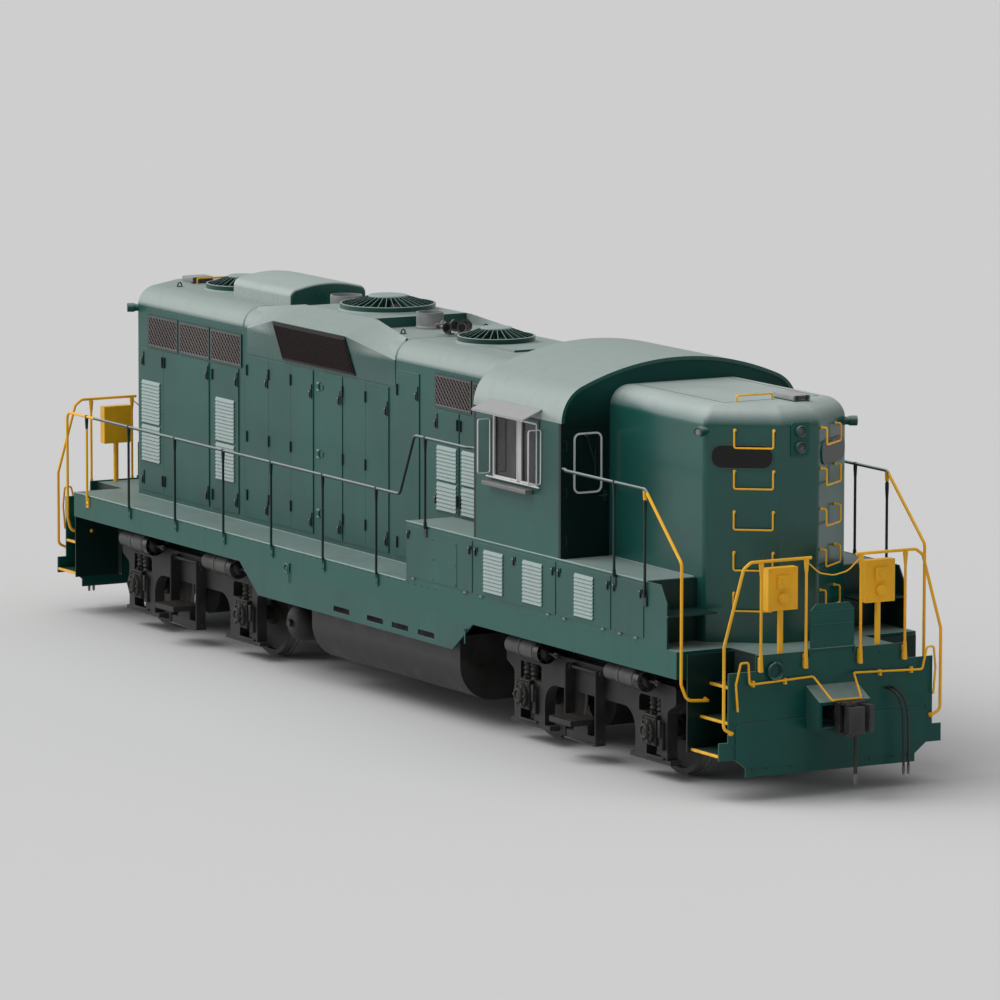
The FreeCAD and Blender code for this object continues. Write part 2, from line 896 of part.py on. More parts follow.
def hood_plan(inset):
    """The plan of the long hood, every face moved in by inset."""
    slant = inset * 0.36
    return [
        (hood_front - inset, -s.hood_half + inset),
        (hood_front - inset, s.hood_half - inset),
        (-s.hood_corner + slant, s.hood_half - inset),
        (-s.hood_end + inset, s.hood_panel_half - slant),
        (-s.hood_end + inset, -s.hood_panel_half + slant),
        (-s.hood_corner + slant, -s.hood_half + inset),
    ]


def upright_at_end(edge):
    """Whether an edge stands upright at a bevelled end of a hood."""
    return edge.Length > 200 and abs(edge.tangentAt(0).z) > 0.9 and abs(edge.CenterOfMass.x) > hood_turn


def louver_bank(axis_ends, face, side, low, high):
    """A bank of pressed louvers: shelving slats, each with its open edge below."""
    count = max(3, round((float(high) - float(low)) / 44))
    pitch = (high - low) / count
    outline = [(side * (face - 3), low)]
    for number in range(count):
        outline.append((side * (face + s.louver_depth), low + number * pitch))
        outline.append((side * (face + 2), low + (number + 1) * pitch))
    outline.append((side * (face - 3), high))
    return prism("X", outline, axis_ends)


# Door panels beside the engine doors: first and last place along X, lower and upper edge
HOOD_PANELS = (
    (-6520, -5940, 1640, 3385),
    (-5935, -4760, 1640, 3385),
    (-4680, -4000, 1640, 3385),
    (-110, 420, 1640, 3800),
    (790, 1345, 2275, 3440),
    (1375, 1960, 2275, 3440),
)
# Louver banks: first and last place along X, lower and upper edge
HOOD_LOUVERS = (
    (-6495, -6030, 2010, 2450),
    (-6495, -6030, 2480, 2995),
    (-4562, -4097, 2010, 2450),
    (-4562, -4097, 2480, 2995),
    (857, 1303, 2300, 2620),
    (857, 1303, 2650, 3040),
    (1433, 1900, 2300, 2620),
    (1433, 1900, 2650, 3040),
)
hood_turn = float(s.nose_corner) - 200
outer_hood = prism("Z", hood_plan(size_of(0)), (s.deck_top + gap, s.hood_eave), [(s.corner_round, upright_at_end)])
inner_hood = prism("Z", hood_plan(s.hood_wall), (s.deck_top, s.hood_eave + gap))
door_pitch = s.engine_door_width + s.door_gap
fixed_doors = [along(s.engine_doors_rear) + number * door_pitch for number in range(3)]
fixed_doors += [along(s.engine_doors_middle) + number * door_pitch for number in (1, 2)]
moving_door = along(s.engine_doors_middle)
hinge_levels = [s.door_low + 260, (s.door_low + s.door_top) / 2, s.door_top - 170]
door_face = s.hood_half + gap
door_outer = door_face + s.door_proud + s.door_gap * 2
door_hinge = door_outer + s.door_barrel - 3
doorways, panels = [], []
for side in SIDES:
    doorways.append(box((moving_door + 25, moving_door + s.engine_door_width - 25),
                        (side * (s.hood_half + 10), side * (s.hood_half - s.hood_wall - 10)),
                        (s.door_low + 25, s.door_top - 25)))
    proud = side * (s.hood_half + s.door_proud)
    for start in fixed_doors:
        panels.append(box((start, start + s.engine_door_width), (side * (s.hood_half - 5), proud),
                          (s.door_low, s.door_top)))
    for first, last, low, high in HOOD_PANELS:
        panels.append(box((along(first), along(last)), (side * (s.hood_half - 5), proud), (low, high)))
    for first, last, low, high in HOOD_LOUVERS:
        face = s.hood_half + s.door_proud
        panels.append(louver_bank((along(first), along(last)), face, side, size_of(low), size_of(high)))
    pin_line = side * door_hinge
    for level in hinge_levels:
        panels.append(rod("Z", (moving_door - 2, pin_line), (level - 50, level + 50), s.door_pin))
        for low in (level - 48, level + 32):
            panels.append(box((moving_door - 60, moving_door - 2), (side * (s.hood_half - 5), pin_line),
                              (low, low + 16)))
            panels.append(rod("Z", (moving_door - 2, pin_line), (low, low + 16), s.door_barrel - 3))
node("hood_sides", fused([cut(outer_hood, [inner_hood] + doorways)] + panels))

# Engine-room doors that open, one each side, hinged on their rear edge
for name, side in (("right", -1), ("left", 1)):
    pin_line = side * door_hinge
    door_end = moving_door + s.engine_door_width
    leaf = box((moving_door, door_end), (side * door_face, side * door_outer), (s.door_low, s.door_top))
    hinges, bores = [], []
    for level in hinge_levels:
        hinges.append(box((moving_door, moving_door + 90), (side * (door_outer - 5), side * (door_outer + 8)),
                          (level - 30, level + 30)))
        hinges.append(rod("Z", (moving_door - 2, pin_line), (level - 30, level + 30), s.door_barrel))
        bores.append(rod("Z", (moving_door - 2, pin_line), (level - 40, level + 40), s.door_pin + gap / 2))
    node("engine_door_" + name, cut(fused([leaf] + hinges), bores))

# Roof of the long hood with rounded eaves, and the dynamic-brake housing on its shoulders
def high_edge(level):
    """A test for the edges at a level that bound a rounded roof, except at the cab."""
    def test(edge):
        middle = edge.CenterOfMass
        return abs(middle.z - float(level)) < 1 and not cab_near < middle.x < cab_far
    return test


cab_near = float(along(s.cab_rear)) - 2
cab_far = float(along(s.cab_front)) + 2
round_start = s.roof_top - s.roof_round - s.roof_sheet
roof_skin = prism("Z", hood_plan(size_of(0)), (round_start, s.roof_top),
                  [(s.corner_round, upright_at_end), (s.roof_round, high_edge(s.roof_top))])
inner_top = s.roof_top - s.roof_sheet
roof_hollow = prism("Z", hood_plan(s.roof_sheet), (round_start - gap, inner_top),
                    [(s.roof_round - s.roof_sheet, high_edge(inner_top))])
deck_ends = (along(s.brake_deck_rear), along(s.brake_deck_front))
roof_extras = [box(deck_ends, (-s.brake_deck_half, s.brake_deck_half), (inner_top, s.brake_deck_top))]
for side in SIDES:
    full = [
        (side * (s.hood_half + s.blister_start), s.blister_foot),
        (side * (s.hood_half + s.blister_lean), s.blister_shoulder),
        (side * s.brake_deck_half, s.brake_deck_top),
        (side * s.brake_deck_half, s.roof_top - s.roof_sheet * 2),
    ]
    faded = [
        (side * (s.hood_half + s.blister_start), s.blister_foot),
        (side * (s.hood_half + 10), s.hood_eave),
        (side * (s.hood_half - s.roof_round * 0.6), s.roof_top + 10),
        (side * (s.hood_half - s.roof_round), s.roof_top - s.roof_sheet * 2),
    ]
    roof_extras.append(lofted("X", [
        (faded, along(s.blister_rear)),
        (full, along(s.blister_full_rear)),
        (full, along(s.blister_full_front)),
        (faded, along(s.blister_front)),
    ]))
roof_extras.append(box((along(s.vent_rear), along(s.vent_front)), (-s.vent_half, s.vent_half),
                       (inner_top, s.roof_top + s.vent_tall)))
hatch_start = s.hood_end - s.nose_bevel
roof_extras.append(box((-hatch_start, -hatch_start + 240), (-260, 10), (inner_top, s.roof_top + 70)))
FANS = {
    "rear": (along(s.fan_rear), s.fan_radius, s.roof_top),
    "brake": (along(s.fan_brake), s.brake_fan_radius, s.brake_deck_top),
    "front": (along(s.fan_front), s.fan_radius, s.roof_top),
}
wells = []
for x, radius, level in FANS.values():
    wells.append(rod("Z", (x, 0), (inner_top - s.roof_sheet, level + gap), radius - s.fan_ring_wall))
below_eave = box((-s.hood_end - gap, hood_front + gap), (-s.hood_half - gap, s.hood_half + gap),
                 (s.door_low, s.hood_eave + gap))
node("hood_roof", cut(fused([cut(roof_skin, [roof_hollow])] + roof_extras), [below_eave] + wells))

# Screens: framed mesh bays below the eaves, and the leaning grilles of the brake housing
rear_start = -s.hood_corner + s.rear_screen_inset
front_start = along(s.front_screen_start)
SCREEN_ROWS = (
    (rear_start, along(s.rear_screen_end), 3, s.screen_low, s.screen_top),
    (front_start, along(s.front_screen_end), 2, s.front_screen_low, s.front_screen_top),
)


def leaning_face(level):
    """How far out the leaning face of the brake housing stands at a level."""
    share = (level - s.blister_foot) / (s.blister_shoulder - s.blister_foot)
    return s.hood_half + s.blister_start + (s.blister_lean - s.blister_start) * share


screens = []
for side in SIDES:
    inner_face = side * (s.hood_half + gap)
    outer_face = side * (s.hood_half + gap + s.screen_thick)
    mesh_face = side * (s.hood_half + gap + s.screen_recess)
    for first, last, bays, low, high in SCREEN_ROWS:
        bay = (last - first + s.screen_frame) / bays
        for number in range(bays):
            start = first + number * bay
            end = start + bay - s.screen_frame
            frame = box((start, end), (inner_face, outer_face), (low, high))
            mesh = box((start + s.screen_frame, end - s.screen_frame), (mesh_face, outer_face),
                       (low + s.screen_frame, high - s.screen_frame))
            screens.append(cut(frame, [mesh]))
    low, high = s.blister_foot + 22, s.blister_shoulder - 10
    low_face, high_face = leaning_face(low) + gap, leaning_face(high) + gap
    grille_ends = (along(s.blister_full_rear) + gap, along(s.blister_full_front) - gap)
    screens.append(prism("X", [
        (side * low_face, low),
        (side * (low_face + s.grille_thick), low - 4),
        (side * (high_face + s.grille_thick), high - 4),
        (side * high_face, high),
    ], grille_ends))
node("hood_screens", group(screens))

# Roof fans: a ring, sloping radial slats and a domed cap over each rotor
housings = []
for name, (x, radius, level) in FANS.items():
    ring_top = level + s.fan_ring_tall
    ring = turned("Z", [
        (radius - s.fan_ring_wall, level + gap),
        (radius + s.fan_ring_wall, level + gap),
        (radius, level + gap + s.fan_ring_wall),
        (radius, ring_top, s.fan_slat),
        (radius - s.fan_ring_wall, ring_top),
    ], (x, 0, 0))
    cap_radius = radius * s.fan_cap_share
    cap_low, cap_top = ring_top + s.fan_cap_rise / 2, ring_top + s.fan_cap_rise
    cap = turned("Z", [
        (0, cap_low),
        (cap_radius, cap_low),
        (cap_radius, cap_top, s.fan_slat_deep),
        (0, cap_top),
    ], (x, 0, 0))
    slat = prism("Y", [
        (radius - s.fan_ring_wall / 2, ring_top - s.fan_slat_deep * 1.5),
        (radius - s.fan_ring_wall / 2, ring_top - s.fan_slat_deep / 2),
        (cap_radius - s.fan_ring_wall, cap_low + s.fan_slat_deep * 1.5),
        (cap_radius - s.fan_ring_wall, cap_low + s.fan_slat_deep / 2),
    ], (-s.fan_slat / 2, s.fan_slat / 2))
    slat_count = round(2 * math.pi * float(radius) / float(s.fan_slat_pitch))
    slats = []
    for number in range(slat_count):
        slats.append(set_at(slat, about_z(360.0 * number / slat_count), x))
    shaft_end = ring_top - s.fan_rotor_drop
    spindle = rod("Z", (x, 0), (shaft_end, cap_low + s.fan_slat), s.fan_shaft)
    housings.append(fused([ring, cap, spindle] + slats))
    hub_radius = radius * s.fan_hub_share
    pieces = [rod("Z", (x, 0), (shaft_end - gap - s.fan_ring_tall, shaft_end - gap), hub_radius)]
    for angle in range(0, 360, 45):
        tip = radius - s.fan_ring_wall - s.running_gap
        blade = box((hub_radius * 0.6, tip * 0.99), (-s.fan_blade_wide / 2, s.fan_blade_wide / 2),
                    (-s.fan_blade / 2, s.fan_blade / 2))
        pitched = set_at(blade, FreeCAD.Rotation(Vector(1, 0, 0), 25))
        pieces.append(set_at(pitched, about_z(angle), x, 0, shaft_end - s.fan_ring_tall / 2))
    node("fan_rotor_" + name, fused(pieces))
node("fan_housings", group(housings))

# Exhaust stacks: flanged round tubes before and behind the brake housing's deck
stacks = []
for x, radius in ((along(s.rear_stack), s.rear_stack_radius), (along(s.front_stack), s.front_stack_radius)):
    stacks.append(turned("Z", [
        (radius - s.stack_wall, s.roof_top + gap),
        (radius + s.stack_wall * 0.4, s.roof_top + gap),
        (radius + s.stack_wall * 0.4, s.roof_top + s.stack_wall),
        (radius, s.roof_top + s.stack_wall * 2),
        (radius, s.stack_top),
        (radius - s.stack_wall, s.stack_top),
    ], (x, 0, 0)))
node("exhaust_stacks", group(stacks))

# Winter hatch: a crowned cover with rounded shoulders over the second radiator fan
def hatch_outline(inset):
    """The hatch's cross-section, its faces moved in by inset."""
    side_half = s.hatch_half - inset
    return [
        (-side_half, s.roof_top + gap),
        (side_half, s.roof_top + gap),
        (side_half, s.hatch_side_top - inset, s.hatch_round - inset),
        (0, s.hatch_ridge - inset, s.hatch_crown_round),
        (-side_half, s.hatch_side_top - inset, s.hatch_round - inset),
    ]


def hatch_end(edge):
    """Whether an edge runs over the hatch at one of its two ends."""
    middle = edge.CenterOfMass
    away = min(abs(middle.x - float(end)) for end in hatch_ends)
    return away < 1 and middle.z > float(s.roof_top) + 5


hatch_ends = (along(s.hatch_rear), along(s.hatch_front))
cover = prism("X", hatch_outline(size_of(0)), hatch_ends, [(s.hatch_round / 3, hatch_end)])
hollow = prism("X", hatch_outline(s.hatch_sheet), (hatch_ends[0] + s.hatch_sheet, hatch_ends[1] - s.hatch_sheet))
node("winter_hatch", cut(cover, [hollow]))

# Horn: five bells of different lengths on one manifold
BELL_LENGTHS = (170, 240, 270, 210, 150)
horn_x = along(s.horn_place)
horn_pieces = [
    rod("Y", (horn_x, s.horn_height), (-290, 90), 24),
    box((horn_x - 40, horn_x + 40), (-140, -60), (s.roof_top + gap, s.roof_top + 14)),
    rod("Z", (horn_x, -100), (s.roof_top + 5, s.horn_height), 18),
]
for number, long in enumerate(BELL_LENGTHS):
    mouth = 48 + long * 0.1
    lift = 18 if number % 2 else -12
    horn_pieces.append(turned("X", [
        (0, -55),
        (33, -55),
        (33, -30),
        (15, -26),
        (19, long * 0.5),
        (30, long * 0.8),
        (mouth, long),
        (mouth - 6, long),
        (0, long - 40),
    ], (horn_x + 20, -240 + number * 70, s.horn_height + lift)))
node("horn", fused(horn_pieces))

# Engine block: a stand-in of the real size, seen only with an engine-room door open
node("engine_block", box((along(s.engine_rear), along(s.engine_front)), (-s.engine_half, s.engine_half),
                         (s.deck_top + gap, s.deck_top + s.engine_tall)))

# Short hood: a bevelled nose with rounded eaves and corners, a sand hatch on top
nose_start = along(s.cab_front) + gap


def nose_plan(inset):
    slant = inset * 0.36
    return [
        (nose_start + inset, -s.hood_half + inset),
        (s.nose_corner - slant, -s.hood_half + inset),
        (s.hood_end - inset, -s.hood_panel_half + slant),
        (s.hood_end - inset, s.hood_panel_half - slant),
        (s.nose_corner - slant, s.hood_half - inset),
        (nose_start + inset, s.hood_half - inset),
    ]


nose = prism("Z", nose_plan(size_of(0)), (s.deck_top + gap, s.roof_top),
             [(s.corner_round, upright_at_end), (s.roof_round, high_edge(s.roof_top))])
nose_hollow = prism("Z", nose_plan(s.hood_wall), (s.deck_top, s.roof_top - s.roof_round))
sand_hatch = box((s.nose_corner - 190, s.nose_corner + 225), (90, 290),
                 (s.roof_top - s.roof_round / 2, s.roof_top + 60))
node("short_hood", fused([cut(nose, [nose_hollow]), sand_hatch]))

# Cab
cab_rear, cab_front = along(s.cab_rear), along(s.cab_front)
window_rear, window_front = cab_rear + s.window_past_rear, cab_front - s.window_short_of_front
window_middle = window_rear + (window_front - window_rear) * 0.59
slope_cosine = 1 / math.sqrt(1 + float(s.cab_roof_slope) ** 2)


def cab_arch(inset, low):
    """The cab's cross-section below its arched roof, every face moved in by inset."""
    drop = inset / slope_cosine
    half = s.cab_half - inset
    corner = s.cab_roof_corner + inset * s.cab_roof_slope - drop
    return [
        (-half, low),
        (half, low),
        (half, corner, s.cab_roof_round - inset),
        (0, s.cab_ridge - drop, s.cab_crown_round - inset),
        (-half, corner, s.cab_roof_round - inset),
    ]


# Cab roof: an arched sheet over both end walls, an awning over each side window
roof_ends = (cab_rear - s.cab_roof_lip, cab_front + s.cab_roof_lip)
arch_outer = prism("X", cab_arch(size_of(0), s.cab_roof_edge + gap), roof_ends)
arch_inner = prism("X", cab_arch(s.cab_roof_sheet, s.cab_roof_edge), (roof_ends[0] - gap, roof_ends[1] + gap))
roof_pieces = [cut(arch_outer, [arch_inner])]
for side in SIDES:
    root, edge = s.cab_half - s.cab_roof_sheet / 2, s.cab_half + s.awning_reach
    roof_pieces.append(prism("X", [
        (side * root, s.awning_top),
        (side * root, s.awning_top + s.awning_sheet),
        (side * edge, s.awning_low + s.awning_sheet),
        (side * edge, s.awning_low - s.awning_sheet),
        (side * (edge - s.awning_sheet), s.awning_low - s.awning_sheet),
        (side * (edge - s.awning_sheet), s.awning_low),
    ], (window_rear - s.window_frame * 3, window_front + s.window_frame * 2)))
node("cab_roof", fused(roof_pieces))


def side_wall(side):
    """A cab side with its framed window and arm rest."""
    outer, inner = side * s.cab_half, side * (s.cab_half - s.cab_wall)
    wall_ends = (cab_rear + s.cab_wall + gap, cab_front - s.cab_wall - gap)
    panel = box(wall_ends, (outer, inner), (s.cab_low + gap, s.cab_roof_edge))
    ring = box((window_rear - s.window_frame, window_front + s.window_frame),
               (outer, outer + side * s.window_frame_proud),
               (s.window_low - s.window_frame, s.window_top + s.window_frame))
    opening = [(window_rear, s.window_low), (window_front, s.window_low),
               (window_front, s.window_top), (window_rear, s.window_top)]
    window = prism("Y", [(x, z, s.window_frame) for x, z in opening],
                   (outer + side * s.window_frame, inner - side * s.window_frame))
    post = box((window_middle - s.window_post / 2, window_middle + s.window_post / 2),
               (outer + side * s.window_frame_proud, inner), (s.window_low - gap, s.window_top + gap))
    rest = prism("X", [
        (outer - side * s.awning_sheet, s.armrest_low),
        (outer + side * s.armrest_reach, s.armrest_low, s.awning_sheet),
        (outer + side * s.armrest_reach, s.armrest_low + s.cab_wall, s.awning_sheet),
        (outer - side * s.awning_sheet, s.armrest_low + s.cab_wall),
    ], (window_rear - s.window_frame * 3, window_front - s.window_frame * 3))
    return fused([cut(fused([panel, ring]), [window]), post, rest])


node("cab_side_right", side_wall(-1))
node("cab_side_left", side_wall(1))


def rounded_box(axis, ends, middle, half, low, high, radius):
    """A block along an axis whose outline is a rounded rectangle about a middle line."""
    return prism(axis, [
        (middle - half, low, radius),
        (middle + half, low, radius),
        (middle + half, high, radius),
        (middle - half, high, radius),
    ], ends)


def door_hinge_line(face, way, side):
    return (face + way * s.cab_door_hinge_out, side * s.cab_door_edge)


cab_door_levels = [s.cab_low + 200, (s.cab_low + s.cab_door_top) / 2, s.cab_door_top - 200]
window_line = s.cab_door_edge - s.cab_door_width / 2


def end_wall(face, way, side):
    """A cab end wall: doorway and hinge pins on one side, a fixed window on the other."""
    inner = face - way * s.cab_wall
    arch = cab_arch(s.cab_roof_sheet + gap, s.cab_roof_edge)
    outline = [
        (-s.cab_half, s.cab_low + gap),
        (s.cab_half, s.cab_low + gap),
        (s.cab_half, s.cab_roof_edge),
        arch[1], arch[2], arch[3], arch[4], arch[0],
        (-s.cab_half, s.cab_roof_edge),
    ]
    panel = prism("X", outline, (face, inner))
    through = (face + way * gap, inner - way * gap)
    doorway = box(through, (side * s.cab_door_edge, side * (s.cab_door_edge - s.cab_door_width)),
                  (s.cab_low, s.cab_door_top))
    window = rounded_box("X", through, -side * window_line, s.end_window_half, s.end_window_low,
                         s.end_window_top, s.end_window_round)
    hinge_x, hinge_y = door_hinge_line(face, way, side)
    hinges = []
    for level in cab_door_levels:
        hinges.append(rod("Z", (hinge_x, hinge_y), (level - 60, level + 60), s.cab_door_pin))
        for low in (level - 60, level + 36):
            hinges.append(rod("Z", (hinge_x, hinge_y), (low, low + 24), s.cab_door_barrel - 2))
            hinges.append(box((face - way * 5, hinge_x), (hinge_y + side * 2, hinge_y + side * 40),
                              (low, low + 24)))
    return fused([cut(panel, [doorway, window])] + hinges)


def cab_door(face, way, side):
    """A cab door with its window and hinge barrels."""
    edge = side * (s.cab_door_edge - s.cab_door_gap)
    far = side * (s.cab_door_edge - s.cab_door_width + s.cab_door_gap)
    leaf = box((face - way * s.cab_door_thick, face), (edge, far),
               (s.cab_low + s.running_gap, s.cab_door_top - s.cab_door_gap))
    window = rounded_box("X", (face - way * s.cab_wall, face + way * s.cab_wall), side * window_line,
                         s.end_window_half, s.end_window_low, s.end_window_top, s.end_window_round)
    pane_at = face - way * s.cab_door_thick / 2
    pane = box((pane_at, pane_at + way * s.glass_thick), (side * (window_line - s.end_window_half - 10),
               side * (window_line + s.end_window_half + 10)), (s.end_window_low - 10, s.end_window_top + 10))
    hinge_x, hinge_y = door_hinge_line(face, way, side)
    hinges, bores = [], []
    for level in cab_door_levels:
        hinges.append(rod("Z", (hinge_x, hinge_y), (level - 35, level + 35), s.cab_door_barrel))
        hinges.append(box((face - way * 5, hinge_x), (hinge_y - side * 6, hinge_y - side * 70),
                          (level - 35, level + 35)))
        bores.append(rod("Z", (hinge_x, hinge_y), (level - 40, level + 40), s.cab_door_pin + gap / 2))
    return cut(fused([cut(leaf, [window]), pane] + hinges), bores)


CAB_ENDS = (("front", cab_front, 1, -1), ("rear", cab_rear, -1, 1))
for name, face, way, side in CAB_ENDS:
    node("cab_%s_wall" % name, end_wall(face, way, side))
    node("cab_door_" + name, cab_door(face, way, side))

# Cab floor, seats and control stand
inside = s.cab_half - s.cab_wall - gap
cab_inside = (cab_rear + s.cab_wall + gap, cab_front - s.cab_wall - gap)
node("cab_floor", box(cab_inside, (-inside, inside), (s.cab_low + gap, s.cab_floor_top)))
floor = s.cab_floor_top + gap
stand_front = cab_front - s.cab_wall * 4
furniture = [prism("Y", [
    (stand_front - 420, floor),
    (stand_front, floor),
    (stand_front, floor + 1120, 40),
    (stand_front - 260, floor + 1120, 40),
    (stand_front - 420, floor + 860, 40),
], (-980, -420))]
for side in SIDES:
    seat_x, seat_y = window_rear + 250, side * 1190
    cushion = box((seat_x - 220, seat_x + 220), (seat_y - 210, seat_y + 210), (floor + 440, floor + 540))
    back = box((seat_x - 240, seat_x - 160), (seat_y - 200, seat_y + 200), (floor + 530, floor + 960))
    post = rod("Z", (seat_x, seat_y), (floor, floor + 450), 38)
    foot = rod("Z", (seat_x, seat_y), (floor, floor + 20), 150)
    furniture.append(fused([cushion, back, post, foot]))
node("cab_seats", group(furniture))

# Window glass: two sashes each side, the fixed end windows and the wind wings
panes = []
for side in SIDES:
    sash = side * (s.cab_half - s.cab_wall / 2)
    for first, last in ((window_rear, window_middle - s.window_post / 2),
                        (window_middle + s.window_post / 2, window_front)):
        panes.append(rounded_box("Y", (sash, sash + side * s.glass_thick), (first + last) / 2,
                                 (last - first) / 2 - gap, s.window_low + gap, s.window_top - gap,
                                 s.window_frame))
    for edge, way in ((window_rear - s.window_frame, -1), (window_front + s.window_frame, 1)):
        panes.append(box((edge + way * s.window_frame, edge + way * (s.window_frame + s.wing_thick)),
                         (side * (s.cab_half + gap), side * (s.cab_half + s.wing_wide)),
                         (s.window_low + s.window_frame, s.window_top - s.window_frame * 2)))
for name, face, way, side in CAB_ENDS:
    middle = face - way * s.cab_wall / 2
    panes.append(rounded_box("X", (middle, middle + way * s.glass_thick), -side * window_line,
                             s.end_window_half - gap, s.end_window_low + gap, s.end_window_top - gap,
                             s.end_window_round))
node("cab_windows", group(panes))

# Side boxes: equipment cases under the cab and along the short hood, with a step at the front
BOX_PANELS = ((1250, 2740), (2800, 4590), (4650, 5780), (5840, 6480))
BOX_LOUVERS = ((3020, 3440), (3890, 4310), (5020, 5420))
box_inner = s.hood_half + gap
box_front = s.sill_end - s.box_step_back
plate_front = s.sill_end - s.box_plate_back
cases = []
for side in SIDES:
    outer = side * s.cab_half
    case = box((along(s.box_rear), box_front), (side * box_inner, outer), (s.deck_top + gap, s.box_top))
    shelf = box((box_front - gap, plate_front + s.box_plate), (side * box_inner, outer),
                (s.box_shelf - s.box_plate, s.box_shelf))
    plate = prism("Y", [
        (box_front - s.box_plate, s.deck_top + gap),
        (plate_front, s.deck_top + gap),
        (plate_front, s.box_top - s.box_plate_drop),
        (plate_front - s.box_plate_bevel, s.box_top),
        (box_front - s.box_plate, s.box_top),
    ], (outer, outer - side * s.box_plate))
    faces = []
    for first, last in BOX_PANELS:
        faces.append(box((along(first), along(last)), (outer - side * 5, outer + side * s.box_panel_proud),
                         (s.deck_top + 60, s.box_top - 40)))
    for first, last in BOX_LOUVERS:
        faces.append(louver_bank((along(first), along(last)), s.cab_half + s.box_panel_proud, side,
                                 s.deck_top + 115, s.box_top - 100))
    cases.append(fused([case, shelf, plate] + faces))
node("side_boxes", group(cases))

# Side handrails: posts with flattened feet, a long low rail, and the rails beside the cab
BACK_POSTS = (-6770, -5650, -4440, -3200, -2000, -735, 545)
rails = []
low, high = s.side_rail_height, s.high_rail_height
string_face = s.sill_end + s.string_back + s.string_plate


def end_curl(way, side):
    """The foot of a side rail: out of the back string's face, round the steps and up."""
    near, out = way * string_face, way * (string_face + s.rail_foot_run)
    return [
        (near + way * gap, side * s.rail_foot_line, s.rail_foot_height),
        (out, side * s.rail_foot_line, s.rail_foot_height),
        (out, side * (s.side_rail_line - 60), s.rail_foot_height + 20),
        (near + way * 20, side * s.side_rail_line, s.rail_foot_height + 190),
        (near + way * 20, side * s.side_rail_line, low),
    ]


def cab_end(face, way, side):
    """Where a side rail turns inwards to its foot on a cab end wall."""
    foot_line = side * (s.cab_half - 25)
    return [
        (face + way * 140, side * s.side_rail_line, high),
        (face + way * 60, foot_line, high),
        (face + way * gap, foot_line, high),
    ]


def rail_post(x, side, seat, foot_top, top):
    """A handrail post with a flattened foot on a face at seat."""
    y = side * s.side_rail_line
    rise = rod("Z", (x, y), (foot_top - 25, top), s.rail_radius * 0.9)
    foot = box((x - s.foot_half / 2, x + s.foot_half / 2), (side * (seat + gap), y),
               (foot_top - s.foot_half * 2, foot_top))
    return [rise, foot]


panel_face = s.cab_half + s.box_panel_proud
for side in SIDES:
    y = side * s.side_rail_line
    path = end_curl(-1, side) + [(along(1100), y, low), (along(1445), y, high)] + cab_end(cab_rear, -1, side)
    pieces = [rail(path, s.rail_radius, 90)]
    for x in BACK_POSTS:
        pieces += rail_post(along(x), side, s.sill_half, s.post_foot, low)
    pieces += rail_post(along(1690), side, panel_face, s.box_top - 10, high)
    rails.append(fused(pieces))
    path = cab_end(cab_front, 1, side)[::-1] + [(along(6530), y, high)] + end_curl(1, side)[::-1]
    pieces = [rail(path, s.rail_radius, 90)]
    pieces += rail_post(along(5880), side, panel_face, s.box_top - 10, high)
    pieces += rail_post(along(6530), side, s.cab_half, s.box_top - 150, high)
    rails.append(fused(pieces))
node("side_handrails", group(rails))

# End handrails: four posts, two bent side rails and the chain across the gangway
POST_LINES = (-910, -345, 345, 910)
end_rails = []
for end, way in ENDS:
    x = way * (s.pilot_face + s.end_rail_ahead)
    top, edge = s.end_rail_top, s.end_rail_side
    foot_x = way * (s.pilot_face + gap)
    pieces = []
    for side in SIDES:
        pieces.append(rail([(foot_x, side * (edge - 115), 765), (x, side * (edge - 115), 765),
                            (x, side * edge, 820), (x, side * edge, 1710), (x, side * 1130, 2530),
                            (x, side * 1040, top), (x, side * 285, top)], s.rail_radius, 70))
    for y in POST_LINES:
        pieces.append(rod("Z", (x, y), (1400, top), s.rail_radius * 0.9))
        pieces.append(rod("Z", (x, y), (top - 60, top - 10), s.rail_radius + 7))
        pieces.append(box((foot_x, x), (y - 20, y + 20), (1410, 1560)))
    pieces.append(rail([(x, -345, 2560), (x, -180, 2420), (x, 0, 2385), (x, 180, 2420), (x, 345, 2560)], 7, 200))
    end_rails.append(fused(pieces))
node("end_handrails", group(end_rails))

# Grab irons: ladder rungs on every bevel and a bar on each hood's roof
def bevel_frame(way, side):
    """The corner where a bevel starts, its direction towards the centre and its normal."""
    corner_x = float(s.nose_corner if way > 0 else s.hood_corner) * way
    start = Vector(corner_x, side * float(s.hood_half), 0)
    end = Vector(way * float(s.hood_end), side * float(s.hood_panel_half), 0)
    direction = (end - start).normalize()
    normal = Vector(abs(direction.y) * way, abs(direction.x) * side, 0)
    return start, direction, normal, (end - start).Length


def grab(first, last, out, drop):
    """A U-shaped bar between two feet; its grip hangs by drop below them."""
    reach = out * float(s.grab_stand)
    fall = Vector(0, 0, -drop)
    points = [first, first + reach, last + reach, last]
    if drop:
        points = [first, first + reach, first + reach + fall, last + reach + fall, last + reach, last]
    return rail(points, s.grab_radius, 22)


irons = []
for end, way in ENDS:
    for side in SIDES:
        start, direction, normal, length = bevel_frame(way, side)
        middle = start + direction * (length * 0.66) + normal * float(gap)
        half = direction * float(s.rung_half)
        for number in (0, 1, 2, 3, 4):
            height = Vector(0, 0, float(s.rung_top + s.rung_drop - number * s.rung_rise))
            irons.append(grab(middle - half + height, middle + half + height, normal, float(s.rung_drop)))
top = float(s.roof_top + gap)
for x, first, last in ((s.nose_corner - 40, -470, -20), (-s.nose_corner + 360, -240, 350)):
    irons.append(grab(Vector(float(x), first, top), Vector(float(x), last, top), Vector(0, 0, 1), 0))
node("grab_irons", group(irons))

